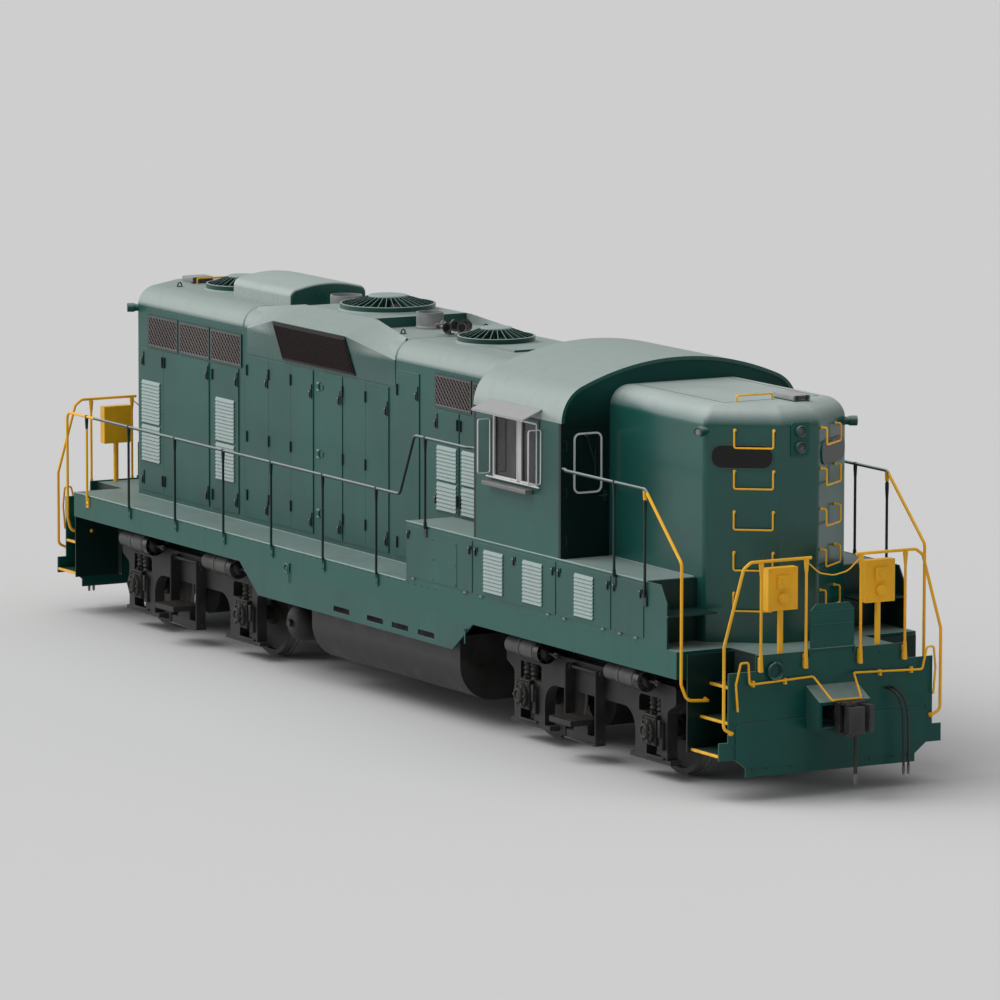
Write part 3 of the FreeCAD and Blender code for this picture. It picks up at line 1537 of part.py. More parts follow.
# Lamps: twin headlight, number boards on the bevels and class lights at the corners
lamps = []
lamp_band = (s.class_light_height - 150, s.class_light_height + 150)
for end, way in ENDS:
    plan = nose_plan(-gap) if way > 0 else hood_plan(-gap)
    corner = prism("Z", plan, lamp_band, [(s.corner_round, upright_at_end)])
    face = way * (s.hood_end + gap)
    out = way * (s.hood_end + s.board_thick)
    plate = rounded_box("X", (face, out), size_of(0), s.lamp_plate_half, s.lamp_height - s.lamp_spread * 2.1,
                        s.lamp_height + s.lamp_spread * 2.1, 30)
    rings = []
    for level in (-s.lamp_spread, s.lamp_spread):
        ring = turned("X", [
            (0, 0),
            (s.lamp_radius, 0),
            (s.lamp_radius, 45),
            (s.lamp_radius - 8, 45),
            (s.lamp_radius - 16, 22),
            (0, 22),
        ], (0, 0, 0))
        rings.append(set_at(ring, about_z(0 if way > 0 else 180), face, 0, s.lamp_height + level))
    lamps.append(fused([plate] + rings))
    for side in SIDES:
        start, direction, normal, length = bevel_frame(way, side)
        angle = math.degrees(math.atan2(normal.y, normal.x))
        middle = start + direction * (length / 2) + normal * float(gap)
        board = rounded_box("X", (0, s.board_thick), size_of(0), s.board_half, s.board_low, s.board_top, 120)
        lamps.append(set_at(board, about_z(angle), middle.x, middle.y))
        light = turned("X", [
            (0, -60),
            (s.class_light_radius * 0.8, -60),
            (s.class_light_radius * 0.8, 20),
            (s.class_light_radius, 45),
            (s.class_light_radius, s.class_light_long),
            (s.class_light_radius - 10, s.class_light_long),
            (0, s.class_light_long - 14),
        ], (0, 0, 0))
        angle = math.degrees(math.atan2(side * 0.919, way * 0.394))
        leaning = set_at(light, about_z(angle), start.x, start.y, s.class_light_height)
        lamps.append(cut(leaning, [corner]))
node("headlights", group(lamps))

# Jumper boxes: receptacle cases on posts at both sides of each gangway
cases = []
for end, way in ENDS:
    for side in SIDES:
        y = side * s.jumper_place
        front = way * s.pilot_face
        back = front - way * s.jumper_deep
        post_x = (front + back) / 2
        case = box((back, front), (y - s.jumper_half, y + s.jumper_half), (s.jumper_low, s.jumper_top))
        post = rod("Z", (post_x, y), (s.deck_top + gap, s.jumper_low + 10), 32)
        lid = box((front, front + way * 26), (y - 75, y + 75), (s.jumper_top - 220, s.jumper_top - 80))
        socket = rod("X", (y, s.jumper_low + 130), (front - way * 5, front + way * 34), 62)
        cases.append(fused([case, post, lid, socket]))
node("jumper_boxes", group(cases))

# Couplers: a head on a shank, a guard arm and two ears that hold the knuckle's pin
HEAD_RIM = 20
knuckle_low = s.coupler_height - s.knuckle_tall / 2
knuckle_high = s.coupler_height + s.knuckle_tall / 2
head_front = s.coupler_face - s.knuckle_reach - 25
pin_place = s.coupler_face - s.knuckle_reach + 60
heads = []
for end, way in ENDS:
    pin_x, pin_y = way * pin_place, -way * s.knuckle_side
    back = way * (s.coupler_face - s.coupler_head_back)
    head = box((back, way * head_front), (-s.coupler_head_half, s.coupler_head_half),
               (knuckle_low - HEAD_RIM, knuckle_high + HEAD_RIM))
    guard = prism("Z", [
        (way * (head_front - 5), way * s.coupler_head_half),
        (way * (s.coupler_face - 60), way * (s.coupler_head_half + 20), 25),
        (way * (s.coupler_face - 75), way * (s.coupler_head_half - 45), 20),
        (way * (head_front - 5), way * (s.coupler_head_half - 80)),
    ], (knuckle_low, knuckle_high))
    shank = box((way * (s.sill_end + s.sill_plate + gap), back), (-s.shank_half, s.shank_half),
                (shank_low, shank_high))
    pieces = [head, guard, shank, rod("Z", (pin_x, pin_y), (knuckle_low - 40, knuckle_high + 45), s.knuckle_pin)]
    for low in (knuckle_low - 36, knuckle_high + 6):
        pieces.append(box((way * (head_front - 5), pin_x), (-way * s.coupler_head_half, -way * 30),
                          (low, low + 30)))
        pieces.append(rod("Z", (pin_x, pin_y), (low, low + 30), 55))
    heads.append(fused(pieces))
    # Knuckle: a hub on the pin with a hooked nose across the coupling line
    nose = prism("Z", [
        (pin_x, -way * 157),
        (way * (s.coupler_face - 40), -way * 157, 40),
        (way * s.coupler_face, -way * 110, 25),
        (way * s.coupler_face, way * 20, 22),
        (way * (s.coupler_face - 70), way * 20, 22),
        (way * (s.coupler_face - 70), -way * 50, 15),
        (pin_x, -way * 50),
    ], (knuckle_low, knuckle_high))
    hub = rod("Z", (pin_x, pin_y), (knuckle_low, knuckle_high), 62)
    bore = rod("Z", (pin_x, pin_y), (knuckle_low - 10, knuckle_high + 10), s.knuckle_pin + 0.5)
    node("knuckle_" + end, cut(fused([hub, nose]), [bore]))
node("couplers", group(heads))

# Drop steps: the hinged plates between the platforms of two coupled engines, folded up
for end, way in ENDS:
    hinge_x = way * (s.pilot_face + s.drop_step_ahead)
    half, bevel = s.drop_step_half, s.drop_step_top - s.drop_step_corner
    leaf = prism("X", [
        (-half, s.hinge_height),
        (half, s.hinge_height),
        (half, s.drop_step_corner),
        (half - bevel, s.drop_step_top),
        (bevel - half, s.drop_step_top),
        (-half, s.drop_step_corner),
    ], (hinge_x - s.drop_step_plate / 2, hinge_x + s.drop_step_plate / 2))
    barrel = rod("Y", (hinge_x, s.hinge_height), (-half, half), s.drop_step_barrel)
    bore = rod("Y", (hinge_x, s.hinge_height), (-half - 5, half + 5), s.drop_step_pin + gap / 2)
    node("drop_step_" + end, cut(fused([leaf, barrel]), [bore]))

# Uncoupling levers: one bent bar across each pilot, looped forward over the coupler
LEVER_BRACKETS = (-1000, -600, 600, 1000)
levers = []
for end, way in ENDS:
    x, level = way * (s.pilot_face + s.lever_ahead), s.lever_height
    loop_x = way * (s.pilot_face + s.housing_depth + 60)
    lever = rail([
        (x, -way * 1200, level - 275),
        (x, -way * 1225, level + 15),
        (x, -way * 1165, level + 245),
        (x, -way * 1070, level + 245),
        (x, -way * 1055, level + 5),
        (x, -way * 257, level + 35),
        (loop_x, -way * 200, level - 190),
        (loop_x, way * 170, level - 190),
        (x, way * 257, level + 35),
        (x, way * 1130, level + 5),
        (x, way * 1190, level + 245),
        (x, way * 1275, level + 245),
        (x, way * 1300, level + 15),
        (x, way * 1275, level - 275),
    ], s.lever_radius, 28)
    brackets = []
    for y in LEVER_BRACKETS:
        brackets.append(box((way * (s.pilot_face + gap), x), (way * (y - 14), way * (y + 14)),
                            (level - 25, level + 40)))
    levers.append(fused([lever] + brackets))
node("uncoupling_levers", group(levers))

# Hoses: a brake hose under each coupler and a pair of air hoses on each pilot
BRAKE_HOSE_RADIUS = 22
AIR_HOSE_RADIUS = 13
AIR_HOSE_SPACING = 62
brake_top = float(knuckle_low - HEAD_RIM - gap)
face_x = float(s.coupler_face)
pilot_x = float(s.pilot_face + gap)
BRAKE_HOSE = (
    (face_x - 250, 60, brake_top),
    (face_x - 250, 60, brake_top - 105),
    (face_x - 234, 48, brake_top - 215),
    (face_x - 214, 34, brake_top - 335),
    (face_x - 214, 34, brake_top - 445),
)
AIR_HOSE = (
    (pilot_x, 700, 1105),
    (pilot_x + 75, 700, 1105),
    (pilot_x + 140, 725, 1075),
    (pilot_x + 180, 755, 1000),
    (pilot_x + 192, 785, 900),
    (pilot_x + 190, 800, 780),
    (pilot_x + 185, 808, 650),
    (pilot_x + 182, 812, 520),
    (pilot_x + 180, 815, 390),
    (pilot_x + 180, 815, 270),
)


def hose(name, route, radius):
    piece, length, radii = tube(route, radius)
    print("%s: length %.0f, least radius %.0f" % (name, length, min(radii)))
    node(name, piece)


for end, way in ENDS:
    route = [(way * x, way * y, z) for x, y, z in BRAKE_HOSE]
    hose("brake_hose_" + end, route, BRAKE_HOSE_RADIUS)
    x, y, z = route[-1]
    fittings = [turned("Z", [
        (0, -120),
        (14, -120),
        (24, -90),
        (28, -30),
        (24, 0),
        (0, 0),
    ], (x, y, z - gap))]
    for letter, shift in (("a", 0), ("b", AIR_HOSE_SPACING)):
        route = [(way * x, way * (y + shift), z) for x, y, z in AIR_HOSE]
        hose("air_hose_" + end + "_" + letter, route, AIR_HOSE_RADIUS)
        x, y, z = route[-1]
        fittings.append(turned("Z", [
            (0, -95),
            (13, -95),
            (17, -60),
            (17, 0),
            (0, 0),
        ], (x, y, z - gap)))
    node("hose_ends_" + end, group(fittings))

# Truck frames: two side frames with sprung pedestals, joined by two transoms
half_base = s.wheelbase / 2


def frame_outline(centre):
    """The side frame seen from the side, without its pedestal openings."""
    half = [
        (half_base - s.leg_inner, s.arch_top, s.arch_round),
        (half_base - s.leg_inner, s.tie_bar_top),
        (half_base - s.tie_bar_inner, s.tie_bar_top),
        (half_base - s.tie_bar_inner, s.leg_low),
        (half_base + s.tie_bar_outer, s.leg_low),
        (half_base + s.tie_bar_outer, s.tie_bar_top),
        (half_base + s.leg_outer, s.tie_bar_top),
        (half_base + s.leg_outer, s.frame_end_low - 90, 60),
        (s.frame_reach, s.frame_end_low, 40),
        (s.frame_reach, s.frame_top, 40),
    ]
    right = [(centre + corner[0],) + tuple(corner[1:]) for corner in half]
    left = [(centre - corner[0],) + tuple(corner[1:]) for corner in half]
    return right + left[::-1]


for end, way in ENDS:
    centre = way * s.truck_place
    pieces = []
    for side in SIDES:
        inner, outer = side * s.side_frame_inner, side * s.side_frame_outer
        plate = prism("Y", frame_outline(centre), (inner, outer))
        openings = []
        for turn in (-1, 1):
            axle = centre + turn * half_base
            openings.append(prism("Y", [
                (axle - turn * s.pedestal_half, s.tie_bar_top),
                (axle + turn * s.pedestal_half, s.tie_bar_top),
                (axle + turn * s.pedestal_half, s.pedestal_top, 12),
                (axle - turn * s.spring_window_inner, s.pedestal_top, 50),
                (axle - turn * s.spring_window_inner, s.spring_window_low),
                (axle - turn * s.pedestal_half, s.spring_window_low),
            ], (inner - side * 5, outer + side * 5)))
        pieces.append(cut(plate, openings))
    for turn in (-1, 1):
        middle = centre + turn * s.transom_place
        pieces.append(box((middle - s.transom_half, middle + s.transom_half),
                          (-s.side_frame_inner - 5, s.side_frame_inner + 5), (s.transom_low, s.transom_top)))
    node("truck_frame_" + end, fused(pieces))

    # Bolster, journal boxes on their springs, swing hangers and brake cylinders
    bolster = box((centre - s.bolster_half, centre + s.bolster_half),
                  (gap - s.side_frame_inner, s.side_frame_inner - gap),
                  (s.bolster_low, s.bolster_top))
    pivot = rod("Z", (centre, 0), (s.bolster_top - 5, s.pivot_top - gap), s.swivel_plate)
    fittings = [fused([bolster, pivot])]
    for side in SIDES:
        for turn in (-1, 1):
            x = centre + turn * half_base
            case = box((x - s.pedestal_half + gap, x + s.pedestal_half - gap),
                       (side * s.journal_inner, side * s.journal_outer),
                       (s.axle_height - s.journal_tall_half, s.axle_height + s.journal_tall_half))
            cover_end = s.journal_outer + s.journal_cover
            cover = rod("Y", (x, s.axle_height), (side * (s.journal_outer - 5), side * cover_end),
                        s.journal_cover_radius)
            ring = rod("Y", (x, s.axle_height), (side * (cover_end - 5), side * (cover_end + s.journal_ring)),
                       s.journal_ring_radius)
            bore = rod("Y", (x, s.axle_height), (side * (s.journal_inner - 5), side * (s.journal_end + 5)),
                       s.journal_radius + gap)
            fittings.append(cut(fused([case, cover, ring]), [bore]))
            for offset in (-s.coil_place, s.coil_place):
                middle = (s.side_frame_inner + s.side_frame_outer) / 2
                coil_low = s.axle_height + s.journal_tall_half + gap
                outline = [(0, coil_low)]
                turns = 4
                pitch = (s.pedestal_top - gap - coil_low) / turns
                for number in range(turns):
                    base = coil_low + number * pitch
                    outline.append((s.coil_radius - s.coil_turn / 2, base))
                    outline.append((s.coil_radius, base + pitch / 2))
                outline.append((s.coil_radius - s.coil_turn / 2, s.pedestal_top - gap))
                outline.append((0, s.pedestal_top - gap))
                fittings.append(turned("Z", outline, (x + offset, side * middle, 0)))
        seat = side * (s.side_frame_outer + gap)
        cage = []
        for turn in (-1, 1):
            middle = centre + turn * s.hanger_place
            cage.append(box((middle - s.hanger_plate / 2, middle + s.hanger_plate / 2),
                            (seat, side * s.hanger_out), (s.hanger_low, s.hanger_top)))
        reach = (centre - s.hanger_place - s.hanger_plate, centre + s.hanger_place + s.hanger_plate)
        swing_line = side * (s.side_frame_outer + s.hanger_out) / 2
        cage.append(rod("X", (swing_line, s.hanger_top - 32), reach, 20))
        cage.append(box((centre - s.hanger_place, centre + s.hanger_place), (seat, side * s.hanger_out),
                        (s.hanger_low, s.plank_top)))
        cage.append(box((centre - 150, centre + 150), (seat, side * s.hanger_out),
                        (s.plank_top - 5, s.leaf_top - s.leaf_thick + 5)))
        cage.append(box((centre - s.leaf_half, centre + s.leaf_half), (seat, side * s.leaf_end),
                        (s.leaf_top - s.leaf_thick, s.leaf_top)))
        for share in (-0.9, -0.6, -0.3, 0, 0.3, 0.6, 0.9):
            rib_x = centre + share * s.leaf_half
            cage.append(box((rib_x - 12, rib_x + 12), (seat, side * s.leaf_end),
                            (s.leaf_top - 5, s.leaf_top + s.leaf_rib)))
        fittings.append(fused(cage))
        for start in (-s.brake_cylinder_far, s.brake_cylinder_near):
            first = centre + start
            step = first + s.brake_cap_long
            last = centre + start + s.brake_cylinder_far - s.brake_cylinder_near
            line = (side * s.brake_cylinder_line, s.brake_cylinder_height)
            barrel = rod("X", line, (step, last), s.brake_cylinder_radius)
            cap = rod("X", line, (first, step + 5), s.brake_cap_radius)
            bracket = box((step + 60, last - 60), (seat, side * s.brake_cylinder_line),
                          (s.frame_top - 70, s.frame_top - 10))
            fittings.append(fused([barrel, cap, bracket]))
    node("truck_fittings_" + end, group(fittings))

    # Traction motors: one beside each axle, hung on it by two bearings and on the transom
    motors = []
    for turn in (-1, 1):
        axle = centre + turn * half_base
        x = axle - turn * s.motor_back
        transom_face = centre + turn * (s.transom_place + s.transom_half + gap)
        pieces = [
            rod("Y", (x, s.axle_height), (-s.motor_half, s.motor_half), s.motor_radius),
            box((transom_face, x - turn * s.motor_radius / 2), (-150, 150), (s.bolster_low, s.motor_top)),
            rod("Y", (axle, s.axle_height), (s.gear_case_inner, s.gear_case_outer), s.gear_case_radius),
            box((x, axle), (s.gear_case_inner, s.gear_case_outer),
                (s.axle_height - s.axle_cap_half, s.axle_height + s.axle_cap_half)),
        ]
        for side in SIDES:
            pieces.append(box((x, axle + turn * s.axle_cap_half),
                              (side * (s.motor_half - 60), side * (s.gear_case_inner + 10)),
                              (s.axle_height - s.axle_cap_half, s.axle_height + s.axle_cap_half)))
        bore = rod("Y", (axle, s.axle_height), (-s.gear_case_outer - 5, s.gear_case_outer + 5),
                   s.axle_radius + gap)
        space = box((axle - turn * s.axle_cap_half, axle + turn * s.motor_radius),
                    (-s.motor_half + 60, s.motor_half - 60),
                    (s.axle_height - s.motor_radius, s.axle_height + s.motor_radius))
        motors.append(cut(fused(pieces), [bore, space]))
    node("traction_motors_" + end, group(motors))

    # Wheelsets: two flanged, dished wheels on an axle with a journal at each end
    for name, turn in (("outer", way), ("inner", -way)):
        rim_inner = s.wheel_radius - s.rim_deep
        rim_face = s.wheel_back + s.wheel_wide
        hub_back, hub_face = s.wheel_back - 15, s.wheel_back + 160
        plate_hub = s.wheel_back + 60
        plate_rim = s.wheel_back + 45
        half = [
            (s.axle_radius, hub_back),
            (s.hub_radius, hub_back),
            (s.hub_radius, plate_hub, 12),
            (rim_inner, plate_rim, 12),
            (rim_inner, s.wheel_back),
            (s.wheel_radius + s.flange, s.wheel_back, 8),
            (s.wheel_radius + s.flange, s.wheel_back + s.flange_thick - 12, 8),
            (s.wheel_radius, s.wheel_back + s.flange_thick, 10),
            (s.wheel_radius - 3.5, rim_face),
            (rim_inner, rim_face),
            (rim_inner, plate_rim + s.plate_thick, 12),
            (s.hub_radius, plate_hub + s.plate_thick, 12),
            (s.hub_radius, hub_face),
            (s.axle_radius, hub_face),
            (s.axle_radius, s.journal_inner - 25),
            (s.journal_radius, s.journal_inner - 25),
            (s.journal_radius, s.journal_end),
            (0, s.journal_end),
        ]
        mirrored = [(corner[0], -corner[1]) + tuple(corner[2:]) for corner in half]
        place_x = centre + turn * half_base
        node("wheelset_" + end + "_" + name, turned("Y", mirrored[::-1] + half, (place_x, 0, s.axle_height)))

doc.recompute()

# Every object and every piece is sound before anything is written
failed = [one.Name for one in doc.Objects if "Invalid" in one.State or "Error" in one.State]
for name, piece in nodes.items():
    if piece.Shape.isNull() or not piece.Shape.isValid() or not piece.Shape.Solids:
        failed.append(name)
if failed:
    raise RuntimeError("these pieces failed: " + ", ".join(failed))
os.makedirs("parts", exist_ok=True)
for name, piece in nodes.items():
    piece.Shape.exportStep("parts/" + name + ".step")
print(len(nodes), "pieces written")
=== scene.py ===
import bpy
import bmesh
import math
from mathutils import Matrix, Vector


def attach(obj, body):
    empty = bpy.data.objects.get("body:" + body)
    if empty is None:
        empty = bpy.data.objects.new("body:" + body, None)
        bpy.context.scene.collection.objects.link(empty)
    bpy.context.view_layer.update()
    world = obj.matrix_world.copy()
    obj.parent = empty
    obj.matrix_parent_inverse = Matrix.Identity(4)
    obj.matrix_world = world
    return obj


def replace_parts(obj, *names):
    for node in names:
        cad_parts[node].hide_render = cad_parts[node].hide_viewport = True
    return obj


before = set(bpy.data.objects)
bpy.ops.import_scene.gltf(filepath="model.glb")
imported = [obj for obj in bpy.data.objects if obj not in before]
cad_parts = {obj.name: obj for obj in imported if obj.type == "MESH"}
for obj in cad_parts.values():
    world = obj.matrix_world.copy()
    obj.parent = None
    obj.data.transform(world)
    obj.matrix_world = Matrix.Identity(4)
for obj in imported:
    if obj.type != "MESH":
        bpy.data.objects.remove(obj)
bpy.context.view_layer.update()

# Camera, floor and light: the locomotive seen from the short-hood end on its right side,
# from a long way off, on a plain pale studio floor under a broad soft light from above.
scene = bpy.context.scene
azimuth, elevation, roll = math.radians(60.216), math.radians(7.936), math.radians(0.106)
forward = Vector((-math.sin(azimuth) * math.cos(elevation), math.cos(azimuth) * math.cos(elevation),
                  -math.sin(elevation)))
camera_data = bpy.data.cameras.new("camera")
camera_data.sensor_width = 36
camera_data.lens = 283.22
camera_data.clip_start, camera_data.clip_end = 1, 1000
camera = bpy.data.objects.new("camera", camera_data)
camera.location = (78.40, -44.47, 14.80)
camera.rotation_mode = "QUATERNION"
camera.rotation_quaternion = forward.to_track_quat("-Z", "Y") @ Matrix.Rotation(roll, 3, "Z").to_quaternion()
scene.collection.objects.link(camera)
scene.camera = camera
scene.view_settings.view_transform = "Standard"


def new_finish(name):
    """A material, its node tree, its shader and the coordinates of the piece itself."""
    material = bpy.data.materials.new(name)
    material.use_nodes = True
    tree = material.node_tree
    coordinates = tree.nodes.new("ShaderNodeTexCoord").outputs["Object"]
    return material, tree, tree.nodes["Principled BSDF"], coordinates


def linked(shape, name, material):
    """An object in the scene for a finished mesh or curve."""
    piece = bpy.data.objects.new(name, shape)
    scene.collection.objects.link(piece)
    piece.data.materials.append(material)
    return piece


floor_bm = bmesh.new()
bmesh.ops.create_grid(floor_bm, x_segments=1, y_segments=1, size=400)
floor_mesh = bpy.data.meshes.new("floor")
floor_bm.to_mesh(floor_mesh)
floor_bm.free()
floor_material, _, floor_shader, _ = new_finish("studio_floor")
floor_shader.inputs["Base Color"].default_value = (0.585, 0.585, 0.585, 1)
floor_shader.inputs["Roughness"].default_value = 1
floor_shader.inputs["Specular IOR Level"].default_value = 0
linked(floor_mesh, "floor", floor_material)

world = bpy.data.worlds.new("studio")
world.use_nodes = True
world.node_tree.nodes["Background"].inputs["Color"].default_value = (0.855, 0.855, 0.86, 1)
world.node_tree.nodes["Background"].inputs["Strength"].default_value = 0.45
scene.world = world
for name, travel, strength, spread in (
    ("key", (0.25, 0.55, -0.85), 1.60, 45),
    ("low", (0.84, 0.54, -0.22), 1.25, 60),
    ("top", (-0.15, -0.10, -1.0), 0.50, 60),
):
    lamp = bpy.data.lights.new(name, "SUN")
    lamp.energy = strength
    lamp.angle = math.radians(spread)
    holder = bpy.data.objects.new(name, lamp)
    holder.rotation_mode = "QUATERNION"
    holder.rotation_quaternion = Vector(travel).to_track_quat("-Z", "Y")
    scene.collection.objects.link(holder)


# Underframe and skirts: welded plate under dark green enamel, riveted along the sill, with
# pale strips along the deck's edges as a painted highlight. The gloss has a fine orange peel,
# upright faces are streaked by rain, and what faces up is paled by dust and a painted highlight.
def noise(tree, coordinates, scale, detail=4.0, stretch=(1, 1, 1), roughness=0.55):
    """A noise pattern on the piece, drawn out along its axes by stretch."""
    mapping = tree.nodes.new("ShaderNodeMapping")
    mapping.inputs["Scale"].default_value = stretch
    tree.links.new(coordinates, mapping.inputs["Vector"])
    node = tree.nodes.new("ShaderNodeTexNoise")
    node.inputs["Scale"].default_value = scale
    node.inputs["Detail"].default_value = detail
    node.inputs["Roughness"].default_value = roughness
    tree.links.new(mapping.outputs["Vector"], node.inputs["Vector"])
    return node.outputs["Fac"]


def ramp(tree, value, low, high, to_low=0.0, to_high=1.0):
    """Carries a value from one span to another and stops at its ends."""
    node = tree.nodes.new("ShaderNodeMapRange")
    for socket, number in zip(("From Min", "From Max", "To Min", "To Max"), (low, high, to_low, to_high)):
        node.inputs[socket].default_value = number
    tree.links.new(value, node.inputs["Value"])
    return node.outputs["Result"]


def feed(tree, value, socket):
    """Gives a socket a number, a colour or another node's output."""
    if isinstance(value, tuple):
        socket.default_value = (*value, 1)
    elif isinstance(value, (int, float)):
        socket.default_value = value
    else:
        tree.links.new(value, socket)


def times(tree, first, second, operation="MULTIPLY"):
    """Two values multiplied, or joined by another operation, and kept between 0 and 1."""
    node = tree.nodes.new("ShaderNodeMath")
    node.operation = operation
    node.use_clamp = True
    feed(tree, first, node.inputs[0])
    feed(tree, second, node.inputs[1])
    return node.outputs[0]


def blended(tree, factor, first, second):
    """A colour between two: each is a colour or another node's output."""
    node = tree.nodes.new("ShaderNodeMix")
    node.data_type = "RGBA"
    for number, value in ((0, factor), (6, first), (7, second)):
        feed(tree, value, node.inputs[number])
    return node.outputs[2]


def part_of(tree, vector, axis, unsigned=False):
    """One axis of a vector, without its sign where that is asked for."""
    node = tree.nodes.new("ShaderNodeSeparateXYZ")
    tree.links.new(vector, node.inputs[0])
    if not unsigned:
        return node.outputs[axis]
    plain = tree.nodes.new("ShaderNodeMath")
    plain.operation = "ABSOLUTE"
    tree.links.new(node.outputs[axis], plain.inputs[0])
    return plain.outputs[0]


def facing(tree, axis, unsigned=False):
    """How far a face looks along an axis, from -1 to 1."""
    return part_of(tree, tree.nodes.new("ShaderNodeNewGeometry").outputs["Normal"], axis, unsigned)


def coat(tree, shader, colour, rough):
    """Gives a finish its colour and its roughness."""
    feed(tree, colour, shader.inputs["Base Color"])
    feed(tree, rough, shader.inputs["Roughness"])


def bumped(tree, shader, height, distance, strength):
    """Relief on a finish, distance deep in metres."""
    node = tree.nodes.new("ShaderNodeBump")
    node.inputs["Distance"].default_value = distance
    node.inputs["Strength"].default_value = strength
    tree.links.new(height, node.inputs["Height"])
    tree.links.new(node.outputs["Normal"], shader.inputs["Normal"])


def enamel(name, base, dust, dust_and_highlight_share=0.5, gloss=0.30, grime=0.25, masks=(), sheen=0.25, painted_side_sheen=0.045):
    """Enamel on sheet steel, mottled, streaked and dusty, with a painted highlight on faces that look up and
    a painted sheen on faces that look sideways. masks: pairs of a test and a colour.
    """
    material, tree, shader, coordinates = new_finish(name)
    darker = tuple(channel * 0.82 for channel in base)
    lighter = tuple(channel * 1.15 + 0.002 for channel in base)
    colour = blended(tree, ramp(tree, noise(tree, coordinates, 0.9, 5), 0.32, 0.68), darker, lighter)
    # Painted sheen: faces that look sideways are paled towards grey-white, standing in for the light they
    # reflect.
    colour = blended(tree, ramp(tree, facing(tree, "Y", True), 0.75, 0.95, 0.0, painted_side_sheen), colour,
                     (0.50, 0.53, 0.52))
    # Faces that look up are paled: by dust, and by a painted highlight standing in for the light falling on
    # them.
    top_share = times(tree, ramp(tree, facing(tree, "Z"), 0.1, 0.75, 0.0, dust_and_highlight_share),
                    ramp(tree, noise(tree, coordinates, 2.1, 6), 0.3, 0.7, 0.85, 1.0))
    colour = blended(tree, top_share, colour, dust)
    for test, other in masks:
        colour = blended(tree, test(tree, coordinates), colour, other)
    streaks = noise(tree, coordinates, 3.2, 3, (2.4, 2.4, 0.16), 0.5)
    low_down = ramp(tree, part_of(tree, coordinates, "Z"), 2.4, 0.3, 0.35, 1.0)
    dirt = times(tree, times(tree, ramp(tree, streaks, 0.5, 0.78), low_down), grime)
    colour = blended(tree, dirt, colour, (0.030, 0.040, 0.036))
    fine = ramp(tree, noise(tree, coordinates, 38, 3), 0.3, 0.7, gloss - 0.02, gloss + 0.04)
    coat(tree, shader, colour, times(tree, fine, times(tree, top_share, 0.3), "ADD"))
    shader.inputs["Specular IOR Level"].default_value = sheen
    bumped(tree, shader, noise(tree, coordinates, 30, 2), 0.0004, 0.15)
    return material


def finish(names, material):
    """Gives carried-over solids their material."""
    for name in names:
        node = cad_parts[name]
        node.data.materials.clear()
        node.data.materials.append(material)


def block(bm, low, high, ease):
    """A plate or bar between two corners, with eased edges."""
    verts = bmesh.ops.create_cube(bm, size=1)["verts"]
    bmesh.ops.scale(bm, vec=[abs(b - a) for a, b in zip(low, high)], verts=verts)
    bmesh.ops.translate(bm, vec=(Vector(low) + Vector(high)) / 2, verts=verts)
    edges = list(dict.fromkeys(edge for vert in verts for edge in vert.link_edges))
    bmesh.ops.bevel(bm, geom=edges, offset=ease, affect="EDGES", segments=2, profile=0.5, material=-1)


def aimed(place, direction):
    """The placing of a shape made along Z: moved to a place and turned to a direction."""
    return Matrix.Translation(place) @ Vector(direction).to_track_quat("Z", "Y").to_matrix().to_4x4()


def bar(bm, start, end, radius, sides=12, end_radius=None):
    """A round bar, pin or disc between two points."""
    run = Vector(end) - Vector(start)
    bmesh.ops.create_cone(bm, cap_ends=True, segments=sides, radius1=radius,
                          radius2=radius if end_radius is None else end_radius, depth=run.length,
                          matrix=aimed((Vector(start) + Vector(end)) / 2, run))


def stud(bm, x, z, side, near, far, radius, sides=6, end_radius=None):
    """A bolt head, rivet or boss that stands out to one side."""
    bar(bm, (x, side * near, z), (x, side * far, z), radius, sides, end_radius)


def rod(bm, first, last, y, z, radius, sides=6, end_radius=None):
    """A rod, bolt head or cap that lies lengthwise."""
    bar(bm, (first, y, z), (last, y, z), radius, sides, end_radius)


def ring(bm, middle, axis, radius, wire, sides=28):
    """A round ring about an axis: a small circle spun once round."""
    part = bmesh.new()
    bmesh.ops.create_circle(part, segments=8, radius=wire,
                            matrix=Matrix.Translation((radius, 0, 0)) @ Matrix.Rotation(math.pi / 2, 4, "X"))
    bmesh.ops.spin(part, geom=part.verts[:] + part.edges[:], cent=(0, 0, 0), axis=(0, 0, 1),
                   angle=math.tau, steps=sides, use_merge=True)
    bmesh.ops.recalc_face_normals(part, faces=part.faces)
    joined(bm, part, aimed(middle, axis))


def joined(bm, part, place):
    """Adds a shape made by itself, moved to its place."""
    mesh = bpy.data.meshes.new("part")
    bmesh.ops.transform(part, matrix=place, verts=part.verts)
    part.to_mesh(mesh)
    part.free()
    bm.from_mesh(mesh)
    bpy.data.meshes.remove(mesh)


def rounded_plate(size, corner, thick, band=None):
    """A plate with rounded corners about the origin in X and Y, or a band along its edge."""
    part = bmesh.new()
    verts = bmesh.ops.create_grid(part, x_segments=1, y_segments=1, size=0.5)["verts"]
    bmesh.ops.scale(part, vec=(size[0], size[1], 1), verts=verts)
    bmesh.ops.bevel(part, geom=verts, offset=corner, affect="VERTICES", segments=5, profile=0.5, material=-1)
    if band:
        inner = part.faces[:]
        bmesh.ops.inset_region(part, faces=inner, thickness=band, use_boundary=True, use_even_offset=True)
        bmesh.ops.delete(part, geom=inner, context="FACES")
    bmesh.ops.solidify(part, geom=part.faces[:], thickness=-thick)
    depth = sum(vert.co.z for vert in part.verts) / len(part.verts)
    bmesh.ops.translate(part, vec=(0, 0, -depth), verts=part.verts)
    bmesh.ops.recalc_face_normals(part, faces=part.faces)
    return part


